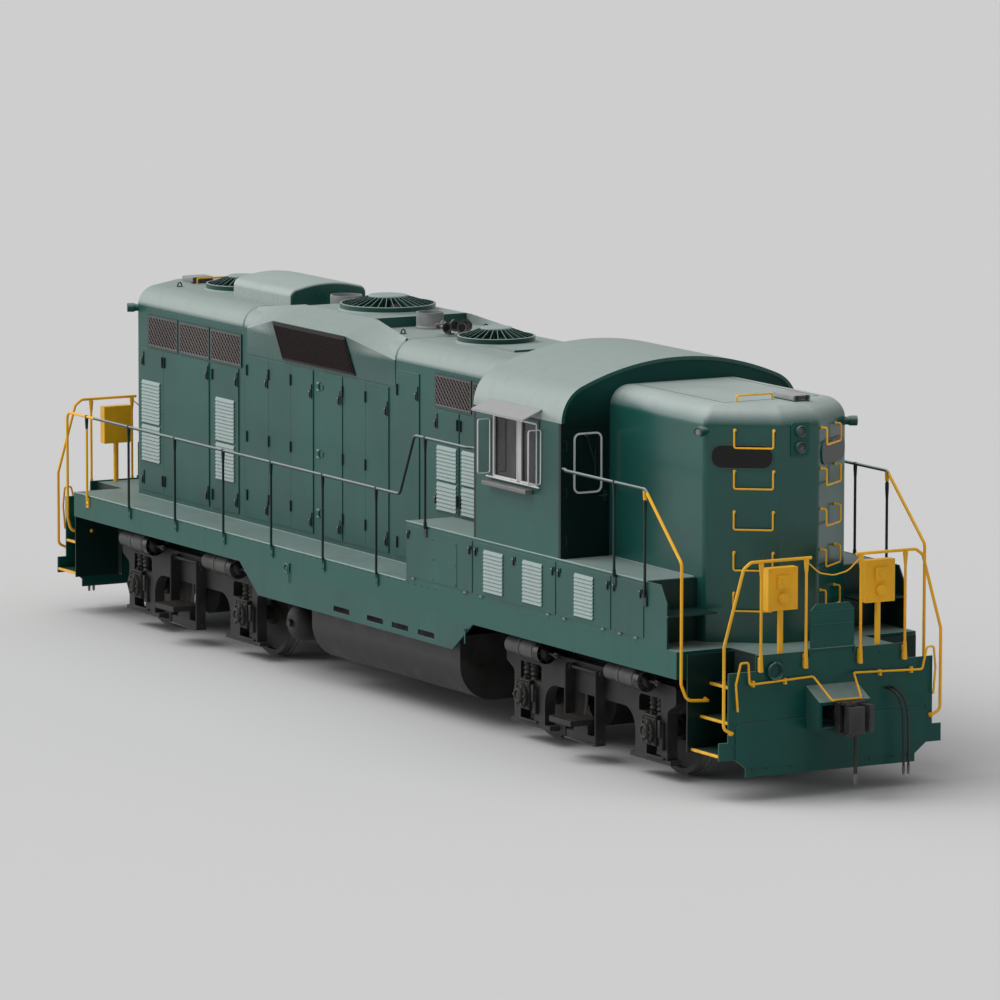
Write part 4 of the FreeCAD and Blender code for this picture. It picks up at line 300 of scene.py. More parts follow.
def piece_from(bm, name, material, body="root"):
    """A finished piece that rides on a body, smooth except at its sharp edges."""
    mesh = bpy.data.meshes.new(name)
    bm.to_mesh(mesh)
    bm.free()
    mesh.shade_smooth()
    mesh.set_sharp_from_angle(angle=math.radians(36))
    piece = linked(mesh, name, material)
    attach(piece, body)
    return piece


def along(axis, low, high, unsigned=False, falling=False):
    """A test of where a spot lies on a piece: 0 below low and 1 above high, or falling."""
    def test(tree, coordinates):
        place = part_of(tree, coordinates, axis, unsigned)
        return ramp(tree, place, low, high, *((1, 0) if falling else (0, 1)))
    return test


def outside(line, fade=0.002):
    """A test for what stands further out to the side than a line."""
    return along("Y", line, line + fade, unsigned=True)


SIDES = (("right", -1), ("left", 1))
SILL = 1.52
POSTS = (-6.77, -5.65, -4.44, -3.20, -2.00, -0.735, 0.545)
GREEN = (0.004, 0.074, 0.060)
# The pale of dust and painted highlight laid on faces that look up.
GREEN_DUST_AND_HIGHLIGHT = (0.37, 0.44, 0.415)
PALE_GREEN = (0.022, 0.10, 0.082)
green_paint = enamel("green_enamel", GREEN, GREEN_DUST_AND_HIGHLIGHT)
finish(("side_skirts",), green_paint)
# The sill's outer face is painted paler: dust, and a painted highlight of a face lit by the bright floor.
finish(("underframe",), enamel("sill_enamel", GREEN, GREEN_DUST_AND_HIGHLIGHT, masks=((outside(1.518), PALE_GREEN),)))
bm = bmesh.new()
for _, side in SIDES:
    for x in POSTS:
        for level in (1.455, 1.515):
            stud(bm, x, level, side, 1.538, 1.5465, 0.013, end_radius=0.009)
    for number in range(58):
        stud(bm, -6.95 + number * 0.155, 1.548, side, SILL, SILL + 0.005, 0.009, end_radius=0.006)
piece_from(bm, "sill_rivets", enamel("bolt_paint", (0.003, 0.030, 0.025), GREEN_DUST_AND_HIGHLIGHT, 0.4))
# Pale strips along the deck and box-top edges: a painted highlight where the edges catch the light.
bm = bmesh.new()
for _, side in SIDES:
    for first, last, level in ((-7.165, 1.218, 1.563), (1.218, 6.56, 2.248)):
        rod(bm, first, last, side * (SILL - 0.001), level, 0.009, 8)
    for first, last, level in ((-6.60, 2.76, 1.569), (4.72, 6.50, 2.254)):
        rod(bm, first, last, side * 0.903, level, 0.006, 8)
painted_edge_highlight = enamel("painted_edge_highlight", (0.14, 0.24, 0.22), (0.40, 0.49, 0.46), 0.7, 0.35)
piece_from(bm, "deck_nosings", painted_edge_highlight)

# Skirt fittings: a gauge in a ring with its lever on the sill over the air tanks, and a
# cock with its handle at the front of the tank skirt. They are small castings, bolted on.
pale_metal = enamel("pale_metal", (0.30, 0.31, 0.305), (0.42, 0.42, 0.41), 0.3, 0.35, 0.2)
dark_paint = enamel("dark_hardware", (0.006, 0.024, 0.020), (0.10, 0.13, 0.12), 0.35, 0.38)
bm = bmesh.new()
for _, side in SIDES:
    ring(bm, (-1.64, side * (SILL + 0.010), 1.335), (0, 1, 0), 0.050, 0.009)
    stud(bm, -1.64, 1.335, side, SILL - 0.002, SILL + 0.012, 0.026, 16)
    stud(bm, -1.575, 1.395, side, SILL - 0.002, SILL + 0.020, 0.014, 10)
    block(bm, (-1.582, side * (SILL + 0.010), 1.17), (-1.568, side * (SILL + 0.020), 1.40), 0.003)
    stud(bm, 2.60, 1.19, side, SILL, SILL + 0.022, 0.022, 12)
    block(bm, (2.588, side * (SILL + 0.010), 1.03), (2.612, side * (SILL + 0.022), 1.20), 0.004)
piece_from(bm, "sill_fittings", green_paint)


# Fuel tank and air reservoirs: welded plate, painted a dull dark grey and hung from the
# frame by saddles.
def cast_iron(name, base, dust, rough=0.62, grain=0.004, masks=()):
    """A rough dark casting: sand grain, brown brake dust on top faces and oily patches."""
    material, tree, shader, coordinates = new_finish(name)
    patches = noise(tree, coordinates, 3.5, 6)
    colour = blended(tree, ramp(tree, patches, 0.35, 0.7), base, tuple(c * 2.6 + 0.006 for c in base))
    top_share = times(tree, ramp(tree, facing(tree, "Z"), 0.1, 0.95, 0.0, 0.7),
                    ramp(tree, noise(tree, coordinates, 6, 5), 0.3, 0.62, 0.5, 1.0))
    colour = blended(tree, top_share, colour, dust)
    for test, other in masks:
        colour = blended(tree, test(tree, coordinates), colour, other)
    coat(tree, shader, colour, ramp(tree, patches, 0.3, 0.75, rough - 0.14, rough + 0.16))
    shader.inputs["Metallic"].default_value = 0.2
    bumped(tree, shader, noise(tree, coordinates, 90, 5, roughness=0.7), grain, 0.5)
    return material


finish(("fuel_tank", "air_reservoirs"),
       cast_iron("tank_plate", (0.0096, 0.0090, 0.0085), (0.033, 0.031, 0.029), 0.55, 0.004))

# Pilots and corner steps: green plates, bolted at the edges. Each tread has a yellow nose,
# and a hose loop hangs from a hook on each pilot.
finish(("pilots", "drop_step_front", "drop_step_rear"), green_paint)
# The corner steps are painted near black: painted shade inside the step wells.
finish(("corner_steps",),
       enamel("step_enamel", (0.0015, 0.016, 0.013), (0.05, 0.10, 0.09), 0.45, 0.34, 0.1))
ENDS = (("front", 1), ("rear", -1))
FACE = 7.8606
TREADS = ((1.40, 0.53), (1.285, 0.88), (1.17, 1.23))
HOOK = -0.72
YELLOW = (0.90, 0.46, 0.014)
yellow_paint = enamel("yellow_enamel", YELLOW, (0.74, 0.46, 0.07), 0.25, 0.34, 0.3)
noses, bolts = bmesh.new(), bmesh.new()
for _, way in ENDS:
    for _, side in SIDES:
        for edge, level in TREADS:
            block(noses, (way * 7.281, side * (edge - 0.022), level - 0.026),
                  (way * 7.838, side * (edge + 0.006), level + 0.003), 0.003)
        for y, z in ((0.80, 0.35), (0.50, 0.35), (1.22, 0.62), (1.22, 0.86), (0.36, 1.50),
                     (0.62, 1.50), (0.88, 1.50), (0.98, 0.35), (0.30, 0.86), (0.30, 1.06), (0.30, 0.66)):
            rod(bolts, way * FACE, way * (FACE + 0.012), side * y, z, 0.014)
    for turn, radius in ((0.0, 0.085), (0.02, 0.092), (-0.018, 0.078)):
        ring(bolts, (way * (FACE + 0.022 + turn), way * HOOK, 1.395), (1, turn * 3, turn), radius, 0.010)
    bar(bolts, (way * (FACE - 0.004), way * HOOK, 1.485), (way * (FACE + 0.055), way * HOOK, 1.49), 0.012)
piece_from(noses, "tread_noses", yellow_paint)
piece_from(bolts, "pilot_bolts", green_paint)

# Drop steps: steel plates that fold down between the locomotives, each with two pressed
# creases and a row of bolts at its hinge.
LEAF = 7.8755
for end, way in ENDS:
    bm = bmesh.new()
    for number in range(7):
        rod(bm, way * (LEAF + 0.0005), way * (LEAF + 0.0075), -0.225 + number * 0.075, 1.635, 0.010)
    block(bm, (way * LEAF, -0.262, 1.850), (way * (LEAF + 0.005), 0.262, 1.862), 0.002)
    block(bm, (way * LEAF, -0.255, 1.995), (way * (LEAF + 0.004), 0.255, 2.005), 0.0015)
    piece_from(bm, "drop_step_crease_" + end, green_paint, "drop_step_" + end)


# Trucks: cast frames, forged hangers and coil springs under brake dust and oil. Journal
# covers, wear plates and the grey brake cylinders are bolted to the frames' outer faces.
def both(first, second):
    """A test for where two others hold."""
    def test(tree, coordinates):
        return times(tree, first(tree, coordinates), second(tree, coordinates))
    return test


def post(bm, x, y, low, high, radius, sides=6, end_radius=None):
    """A bolt, post or collar that stands on end."""
    bar(bm, (x, y, low), (x, y, high), radius, sides, end_radius)


PIVOT, HALF_BASE, AXLE = 4.7245, 1.3715, 0.533
CYLINDER, HANGER = (1.30, 1.105), 0.33
IRON, BRAKE_DUST = (0.0115, 0.0105, 0.010), (0.072, 0.066, 0.060)
on_barrels = both(outside(1.172), along("Z", 1.0415, 1.0425))
truck_iron = cast_iron("truck_iron", IRON, BRAKE_DUST)
fittings_iron = cast_iron("fittings_iron", IRON, BRAKE_DUST, masks=((on_barrels, (0.075, 0.074, 0.072)),))
bolt_steel = cast_iron("cap_steel", (0.022, 0.021, 0.020), (0.10, 0.095, 0.09), 0.45, 0.002)
cap_black = cast_iron("cap_black", (0.004, 0.004, 0.004), (0.02, 0.02, 0.02), 0.38, 0.001)
for end, way in ENDS:
    finish(("truck_frame_" + end, "traction_motors_" + end), truck_iron)
    finish(("truck_fittings_" + end,), fittings_iron)
    middle = way * PIVOT
    bolts, covers, caps = bmesh.new(), bmesh.new(), bmesh.new()
    for _, side in SIDES:
        for turn in (-1, 1):
            x = middle + turn * HALF_BASE
            for number in range(6):
                angle = math.tau * number / 6
                stud(bolts, x + 0.112 * math.cos(angle), AXLE + 0.112 * math.sin(angle), side,
                     1.262, 1.281, 0.015)
            ring(covers, (x, side * 1.286, AXLE), (0, 1, 0), 0.066, 0.015)
            stud(covers, x, AXLE, side, 1.282, 1.290, 0.030, 16)
            for across in (-0.12, 0.12):
                for level in (-0.125, 0.125):
                    stud(bolts, x + across, AXLE + level, side, 1.222, 1.238, 0.014)
            for across in (-0.13, 0.13):
                post(bolts, x + across, side * 1.07, 0.165, 0.192, 0.018)
            for left, right, near, far, low, high, ease in (
                (0.160, 0.240, 1.155, 1.198, AXLE - 0.19, AXLE + 0.10, 0.006),
                (0.180, 0.228, 1.190, 1.222, AXLE - 0.05, AXLE + 0.14, 0.006),
                (-0.140, 0.140, 1.150, 1.215, AXLE + 0.153, AXLE + 0.178, 0.005),
                (-0.150, 0.240, 1.155, 1.185, 0.238, 0.262, 0.004),
            ):
                block(covers, (x + left, side * near, low), (x + right, side * far, high), ease)
            post(bolts, x, side * 1.185, AXLE + 0.170, AXLE + 0.215, 0.026)
        line = (side * CYLINDER[0], CYLINDER[1])
        for number in range(8):
            angle = math.tau * number / 8
            for face, turn, far in ((-0.70, 1, 0.106), (0.70, -1, 0.086), (-1.47, -1, 0.086),
                                    (1.47, 1, 0.106)):
                x = middle + face
                spot = (line[0] + far * math.cos(angle), line[1] + far * math.sin(angle))
                rod(bolts, x - turn * 0.004, x + turn * 0.014, *spot, 0.010)
        for face in (-0.70, 1.47):
            x = middle + face
            rod(caps, x - 0.10, x, *line, 0.1275, 32)
            rod(caps, x - 0.002, x + 0.030, *line, 0.092, 32, 0.082)
            rod(caps, x + 0.028, x + 0.052, *line, 0.082, 32, 0.045)
            rod(bolts, x + 0.05, x + 0.23, *line, 0.016, 12)
            block(bolts, (x + 0.185, side * 1.278, 1.075), (x + 0.245, side * 1.322, 1.135), 0.008)
            stud(bolts, x + 0.215, line[1], side, 1.262, 1.338, 0.014, 8)
            for band in (-0.42, -0.13):
                ring(bolts, (x + band, *line), (1, 0, 0), 0.125, 0.007)
        for turn in (-1, 1):
            x = middle + turn * HANGER
            post(covers, x, side * 1.277, 0.212, 1.035, 0.014, 8)
            rod(bolts, x - 0.045, x + 0.045, side * 1.2175, 1.008, 0.036, 12)
            for level in (0.26, 0.95):
                rod(bolts, x + turn * 0.009, x + turn * 0.027, side * 1.22, level, 0.02)
        rod(covers, middle - HANGER, middle + HANGER, side * 1.277, 0.216, 0.014, 8)
        for level in (0.440, 0.455, 0.470):
            block(covers, (middle - 0.232, side * 1.535, level),
                  (middle + 0.232, side * 1.543, level + 0.008), 0.002)
    piece_from(bolts, "truck_bolts_" + end, bolt_steel, "truck_" + end)
    piece_from(covers, "journal_covers_and_wear_edges_" + end, truck_iron, "truck_" + end)
    piece_from(caps, "brake_cylinder_caps_" + end, cap_black, "truck_" + end)


# Wheelsets: rolled steel wheels pressed on their axles, under brown dust, and ground
# bright where they meet the rail.
def beyond(x, z, radius):
    """A test for what lies further from a crosswise axle than a radius."""
    def test(tree, coordinates):
        mapping = tree.nodes.new("ShaderNodeMapping")
        mapping.inputs["Location"].default_value = (-x, 0, -z)
        mapping.inputs["Scale"].default_value = (1, 0, 1)
        tree.links.new(coordinates, mapping.inputs["Vector"])
        length = tree.nodes.new("ShaderNodeVectorMath")
        length.operation = "LENGTH"
        tree.links.new(mapping.outputs["Vector"], length.inputs[0])
        return ramp(tree, length.outputs["Value"], radius, radius + 0.002)
    return test


TREAD = 0.5035
for end, way in ENDS:
    for name, turn in (("outer", way), ("inner", -way)):
        on_tread = beyond(way * PIVOT + turn * HALF_BASE, AXLE, TREAD)
        finish(("wheelset_%s_%s" % (end, name),),
               cast_iron("wheel_steel_%s_%s" % (end, name), (0.016, 0.0145, 0.0135), (0.06, 0.05, 0.042),
                         0.5, 0.002, ((on_tread, (0.13, 0.125, 0.12)),)))

# Couplers: forged heads with swinging knuckles, worn dark by use and hung in the pilots'
# housings.
finish(("couplers", "knuckle_front", "knuckle_rear"),
       cast_iron("coupler_iron", (0.020, 0.019, 0.019), (0.07, 0.065, 0.06), 0.5, 0.003))

# Long hood: sheet-steel walls and doors with pressed louvers, in the green enamel. The
# louvers lean outwards and are painted paler, as a painted highlight where their slats catch the light.
LOUVER_HIGHLIGHT = (0.27, 0.35, 0.33)
finish(("hood_sides",), enamel("hood_enamel", GREEN, GREEN_DUST_AND_HIGHLIGHT, 0.62,
                               masks=((outside(0.914), LOUVER_HIGHLIGHT),)))
finish(("engine_door_right", "engine_door_left"), green_paint)
WALL, PROUD, DOOR = 0.90, 0.912, 0.545
FIXED_DOORS = (-3.775, -3.226, -2.677, -1.396, -0.847)
DOOR_LEVELS = (1.90, 2.605, 3.40)


def latch(bm, bosses, x, z, side, face, tall=0.17):
    """A door latch: a bolt rod, a bright round boss and a handle hanging from it."""
    block(bm, (x + 0.010, side * face, z - tall / 2),
          (x + 0.026, side * (face + 0.012), z + tall / 2), 0.002)
    stud(bm, x - 0.012, z, side, face, face + 0.018, 0.020, 12, 0.017)
    stud(bosses, x - 0.012, z, side, face + 0.016, face + 0.024, 0.011, 12, 0.008)
    block(bm, (x - 0.024, side * (face + 0.004), z - 0.075),
          (x - 0.004, side * (face + 0.018), z - 0.012), 0.002)


def hinge(bm, x, z, side, face):
    """A door hinge: a barrel on the joint with a narrow leaf behind it."""
    post(bm, x, side * (face + 0.010), z - 0.065, z + 0.065, 0.010, 8)
    block(bm, (x - 0.014, side * face, z - 0.060), (x + 0.014, side * (face + 0.006), z + 0.060), 0.0015)


black_iron = enamel("black_hardware", (0.004, 0.012, 0.011), (0.05, 0.07, 0.065), 0.3, 0.35)
bm, bosses = bmesh.new(), bmesh.new()
for name, side in SIDES:
    for x in FIXED_DOORS:
        for z in DOOR_LEVELS:
            hinge(bm, x + 0.004, z, side, PROUD)
    for x in (-3.775, -2.677, -0.847):
        for z in (1.80, 3.32):
            latch(bm, bosses, x + DOOR - 0.045, z, side, PROUD)
    for hung, held, low, high in ((-5.965, -6.48, 1.64, 3.385), (-5.905, -4.80, 1.64, 3.385),
                                  (-4.655, -4.045, 1.64, 3.385), (-0.085, 0.375, 1.64, 3.70),
                                  (1.32, 0.83, 2.275, 3.44), (1.40, 1.915, 2.275, 3.44)):
        for z in (low + 0.16, high - 0.13):
            latch(bm, bosses, held, z, side, PROUD)
            hinge(bm, hung, z, side, PROUD)
    door, door_bosses = bmesh.new(), bmesh.new()
    for z in (1.80, 3.32):
        latch(door, door_bosses, -1.445, z, side, 0.9315)
    piece_from(door, "engine_door_latches_" + name, black_iron, "engine_door_" + name)
    piece_from(door_bosses, "engine_door_bosses_" + name, pale_metal, "engine_door_" + name)
piece_from(bm, "hood_latches", black_iron)


# Hood seams: folded sheet strips, 9 mm proud, laid round the hood where its sections meet
# and riveted through, with rivets along the roof's lap above the screens.
def verts_in(shapes):
    """The vertices among what an operator has made."""
    return [shape for shape in shapes if isinstance(shape, bmesh.types.BMVert)]


DECK, EAVE, SHOULDER, SEAM = 1.585, 3.90, 0.24, 0.045
bm = bmesh.new()
for x in (-3.905, -0.165):
    part = bmesh.new()
    last = part.verts.new((x, -WALL - 0.001, DECK))
    y, z = -WALL - 0.001, EAVE
    for bend in (SHOULDER - WALL, WALL - SHOULDER):
        corner = part.verts.new((x, y, z))
        part.edges.new((last, corner))
        turned = bmesh.ops.spin(part, geom=[corner], cent=(x, bend, EAVE), axis=(1, 0, 0),
                                angle=-math.pi / 2, steps=10)["geom_last"]
        last = verts_in(turned)[0]
        y, z = WALL - SHOULDER, last.co.z
    part.edges.new((last, part.verts.new((x, last.co.y, DECK))))
    made = bmesh.ops.extrude_edge_only(part, edges=part.edges[:])["geom"]
    bmesh.ops.translate(part, vec=(SEAM, 0, 0), verts=verts_in(made))
    bmesh.ops.recalc_face_normals(part, faces=part.faces)
    bmesh.ops.solidify(part, geom=part.faces[:], thickness=0.009)
    bmesh.ops.recalc_face_normals(part, faces=part.faces)
    joined(bm, part, Matrix())
for _, side in SIDES:
    for first, count, level in ((-6.40, 26, 3.855), (0.80, 18, 3.885)):
        for number in range(count):
            stud(bm, first + number * 0.098, level, side, WALL, WALL + 0.005, 0.008, end_radius=0.005)
piece_from(bm, "hood_seams", green_paint)

# Screens: woven wire in riveted frames before the dark radiator openings, and a finer
# weave on the leaning grilles of the brake housing.
behind_frame = along("Y", 0.9105, 0.9115, unsigned=True, falling=True)
on_grille = both(along("X", -2.90, -2.899), along("X", -1.05, -1.049, falling=True))
finish(("hood_screens",), enamel("screen_frames", (0.012, 0.05, 0.042), (0.15, 0.16, 0.15), 0.3,
                                 masks=((behind_frame, (0.005, 0.004, 0.004)),
                                        (on_grille, (0.006, 0.003, 0.003)))))


def wire_mesh(bm, wide, tall, pitch, wire, place):
    """Woven wire over a rectangle: a turned grid cut to size, each edge made a wire."""
    part = bmesh.new()
    count = math.ceil((wide + tall) / pitch)
    bmesh.ops.create_grid(part, x_segments=count, y_segments=count, size=count * pitch / 2,
                          matrix=Matrix.Rotation(math.pi / 4, 4, "Z"))
    for axis, limit in ((0, wide / 2), (1, tall / 2)):
        for way in (-1, 1):
            normal = Vector((0, 0, 0))
            normal[axis] = way
            bmesh.ops.bisect_plane(part, geom=part.verts[:] + part.edges[:] + part.faces[:],
                                   plane_co=normal * limit, plane_no=normal, clear_outer=True)
    bmesh.ops.wireframe(part, faces=part.faces[:], thickness=wire, use_replace=True,
                        use_boundary=True, use_even_offset=True)
    joined(bm, part, place)


upright = Matrix.Rotation(math.pi / 2, 4, "X")
RIB = 0.026
bm = bmesh.new()
for _, side in SIDES:
    for first, last, bays, low, high in ((-6.355, -3.917, 3, 3.41, 3.81), (0.779, 2.52, 2, 3.47, 3.855)):
        bay = (last - first + RIB) / bays
        for number in range(bays):
            middle = first + number * bay + (bay - RIB) / 2
            wire_mesh(bm, bay - 3 * RIB, high - low - 2 * RIB, 0.052, 0.012,
                      Matrix.Translation((middle, side * 0.9125, (low + high) / 2)) @ upright)
piece_from(bm, "radiator_wire", enamel("rusty_wire", (0.19, 0.16, 0.152), (0.3, 0.27, 0.26), 0.3, 0.55))
lean = math.atan2(1.052 - 0.912, 4.08 - 3.622)
bm = bmesh.new()
for _, side in SIDES:
    leaning = Matrix.Rotation(-side * lean, 4, "X") @ upright
    wire_mesh(bm, 1.72, 0.42, 0.040, 0.009, Matrix.Translation((-1.965, side * 0.998, 3.845)) @ leaning)
piece_from(bm, "grille_wire",
           enamel("maroon_wire", (0.020, 0.006, 0.0045), (0.045, 0.022, 0.018), 0.2, 0.5, sheen=0.15))


# Roof: sheet steel with round shoulders, paled on top by dust and a painted reflection of the
# light. Fan guards, a winter hatch, steel exhaust stacks, lifting rings and an alloy horn are bolted and
# welded to it.
def off_the_ends(tree, coordinates):
    """A test for faces that look sideways or up, not forwards, back or down."""
    return times(tree, ramp(tree, facing(tree, "X", True), 0.4, 0.5, 1, 0),
                 ramp(tree, facing(tree, "Z"), -0.3, -0.2))


# Above the eave, faces that look up or sideways are painted pale: a painted reflection of the light on the
# roof.
over_eave = both(along("Z", 3.88, 3.95), off_the_ends)
finish(("hood_roof",), enamel("roof_enamel", GREEN, GREEN_DUST_AND_HIGHLIGHT, 0.88, 0.28, sheen=0.5,
                              masks=((over_eave, (0.250, 0.310, 0.290)),)))
# The hatch's top and sides are painted pale in the same way, as a painted reflection.
finish(("winter_hatch",), enamel("hatch_enamel", GREEN, (0.44, 0.50, 0.475), 0.9, 0.28, sheen=0.5,
                                 masks=((off_the_ends, (0.32, 0.385, 0.36)),)))
finish(("short_hood",), enamel("nose_enamel", GREEN, (0.42, 0.48, 0.455), 0.9, 0.22, sheen=0.5, painted_side_sheen=0.012))
finish(("fan_housings",), enamel("fan_enamel", (0.010, 0.060, 0.050), (0.36, 0.44, 0.41), 0.85, 0.28))
finish(("exhaust_stacks",), cast_iron("stack_steel", (0.15, 0.155, 0.15), (0.30, 0.30, 0.29), 0.55, 0.002))
finish(("engine_block", "fan_rotor_rear", "fan_rotor_brake", "fan_rotor_front"),
       cast_iron("sooty_steel", (0.03, 0.028, 0.026), (0.08, 0.075, 0.07), 0.6, 0.002))
finish(("horn",), cast_iron("horn_alloy", (0.085, 0.085, 0.085), (0.2, 0.2, 0.195), 0.35, 0.001))
# The horn's bells are closed by near-black cones: painted shade inside the mouths.
bm = bmesh.new()
for number, long in enumerate((0.170, 0.240, 0.270, 0.210, 0.150)):
    mouth = 0.048 + long * 0.1
    x, y, z = long - 0.28, number * 0.07 - 0.24, 4.255 + (0.018 if number % 2 else -0.012)
    ring(bm, (x, y, z), (1, 0, 0), mouth - 0.004, 0.004, 24)
    rod(bm, x - 0.030, x - 0.012, y, z, mouth * 0.55, 20, mouth * 0.82)
piece_from(bm, "horn_mouths",
           cast_iron("horn_inside", (0.012, 0.011, 0.011), (0.03, 0.03, 0.03), 0.6, 0.001))
bm = bmesh.new()
for x, out in ((-6.20, 0.55), (-3.15, 0.60), (-0.60, 0.55), (2.35, 0.45)):
    for y in (out, -out):
        ring(bm, (x, y, 4.158), (1, 0.3, 0), 0.032, 0.008, 16)
        block(bm, (x - 0.04, y - 0.03, 4.138), (x + 0.04, y + 0.03, 4.146), 0.002)
for x in (-4.55, -4.15, -3.75):
    block(bm, (x - 0.015, -0.505, 4.18), (x + 0.015, -0.499, 4.26), 0.002)
for y in (0.13, 0.25):
    block(bm, (6.90, y - 0.012, 4.155), (6.932, y + 0.012, 4.205), 0.003)
for y in (-0.60, 0.60):
    block(bm, (4.75, y - 0.003, 4.137), (6.60, y + 0.003, 4.1425), 0.001)
block(bm, (6.597, -0.60, 4.137), (6.603, 0.60, 4.1425), 0.001)
piece_from(bm, "roof_rings_and_clips", dark_paint)
bm = bmesh.new()
block(bm, (6.493, 0.083, 4.155), (6.922, 0.297, 4.207), 0.003)
block(bm, (-6.657, -0.267, 4.155), (-6.403, 0.017, 4.217), 0.003)
piece_from(bm, "hatch_lids", pale_metal)
# The hatch lids' front ends are faced in a darker grey: painted shade on the ends under the lids.
bm = bmesh.new()
block(bm, (6.9215, 0.095, 4.160), (6.925, 0.285, 4.200), 0.001)
block(bm, (-6.4035, -0.257, 4.160), (-6.400, 0.007, 4.210), 0.001)
piece_from(bm, "hatch_fronts", enamel("hatch_front", (0.07, 0.072, 0.071), (0.2, 0.2, 0.2), 0.3, 0.4))

# Lamps: twin headlights in a plate, blank number boards behind glass in thin rims, and a
# class light with a frosted lens at each corner of both ends.
finish(("headlights",), green_paint)
board_glass = enamel("board_glass", (0.006, 0.006, 0.007), (0.03, 0.03, 0.03), 0.1, 0.14, 0.15)
lamp_glass, tree, shader, coordinates = new_finish("lamp_glass")
coat(tree, shader, blended(tree, ramp(tree, noise(tree, coordinates, 25, 2), 0.35, 0.65),
                           (0.03, 0.031, 0.032), (0.10, 0.10, 0.105)),
     ramp(tree, noise(tree, coordinates, 60, 3, (1, 6, 1)), 0.3, 0.7, 0.05, 0.18))
shader.inputs["Metallic"].default_value = 0.5
frosted, tree, shader, coordinates = new_finish("frosted_lens")
coat(tree, shader, blended(tree, ramp(tree, noise(tree, coordinates, 40, 3), 0.3, 0.7),
                           (0.12, 0.125, 0.125), (0.26, 0.27, 0.265)), 0.2)
bumped(tree, shader, noise(tree, coordinates, 120, 2, (4, 4, 0.5)), 0.001, 0.5)
HOOD_END, BEVEL_END = 7.185, 0.243
CORNER = {1: 6.69, -1: 6.65}


def bevel_of(way, side):
    """A hood end's bevel: its corner with the side wall, and its run and its normal."""
    start = Vector((way * CORNER[way], side * WALL, 0))
    run = Vector((way * HOOD_END, side * BEVEL_END, 0)) - start
    direction = run.normalized()
    return start, run, Vector((way * abs(direction.y), side * abs(direction.x), 0))


glass, rims, lamps, lenses = bmesh.new(), bmesh.new(), bmesh.new(), bmesh.new()
for _, way in ENDS:
    for level in (3.682, 3.858):
        x = way * (HOOD_END + 0.0003)
        rod(lamps, x + way * 0.020, x + way * 0.034, 0, level, 0.050, 28, 0.044)
        ring(rims, (x + way * 0.046, 0, level), (1, 0, 0), 0.057, 0.005, 32)
    for _, side in SIDES:
        start, run, normal = bevel_of(way, side)
        up = Vector((0, 0, 1))
        outwards = Matrix((up.cross(normal), up, normal)).transposed().to_4x4()
        place = Matrix.Translation(start + run / 2 + up * 3.5875 + normal * 0.0153) @ outwards
        joined(glass, rounded_plate((0.655, 0.240), 0.108, 0.0015), place)
        joined(rims, rounded_plate((0.682, 0.267), 0.121, 0.004, 0.012), place)
        out = Vector((way * 0.394, side * 0.919, 0)).normalized()
        start.z = 3.86
        bar(lenses, start + out * 0.104, start + out * 0.122, 0.044, 24, 0.030)
        ring(rims, start + out * 0.119, out, 0.050, 0.005, 28)
piece_from(glass, "number_boards", board_glass)
piece_from(rims, "lamp_rims", enamel("rim_paint", (0.03, 0.085, 0.072), GREEN_DUST_AND_HIGHLIGHT, 0.4, 0.3))
piece_from(lamps, "headlamp_glass", lamp_glass)
piece_from(lenses, "class_lenses", frosted)

# Grab irons: bent round bars on every bevel and on both roofs, painted yellow and welded
# on by a round foot at each end.
finish(("grab_irons",), yellow_paint)
bm = bmesh.new()
for _, way in ENDS:
    for _, side in SIDES:
        start, run, normal = bevel_of(way, side)
        for number in range(5):
            for share in (-0.211, 0.211):
                spot = start + run * 0.66 + run.normalized() * share + normal * 0.006
                spot.z = 3.875 - number * 0.443
                bmesh.ops.create_icosphere(bm, subdivisions=2, radius=0.019, matrix=Matrix.Translation(spot))
piece_from(bm, "grab_feet", yellow_paint)

# Cab: green steel walls and doors, welded under an arched roof, with bare aluminium
# awnings over the side windows and padded armrests below them.
on_awning, on_armrest = outside(1.521, 0.001), outside(1.534, 0.001)
under_arch = along("Z", 3.75, 4.15)
# The end walls and doors are painted near black: painted shade of walls that face away from the light under
# the roof's overhang.
finish(("cab_front_wall", "cab_rear_wall", "cab_door_front", "cab_door_rear"),
       enamel("cab_end_enamel", (0.0012, 0.013, 0.011), (0.10, 0.15, 0.135), 0.3, 0.34, 0.1, sheen=0.15,
              masks=((under_arch, (0.003, 0.052, 0.043)),)))
finish(("cab_floor",), green_paint)
# The cab roof's top and sides are painted pale as a painted reflection; the strip over the windows is the
# bare aluminium awning.
finish(("cab_roof",), enamel("cab_roof_enamel", GREEN, GREEN_DUST_AND_HIGHLIGHT, 0.85, 0.28, sheen=0.5,
                             masks=((off_the_ends, (0.27, 0.33, 0.31)), (on_awning, (0.33, 0.33, 0.33)))))
finish(("cab_side_right", "cab_side_left"),
       enamel("cab_side_enamel", GREEN, GREEN_DUST_AND_HIGHLIGHT, masks=((on_armrest, (0.17, 0.168, 0.168)),)))

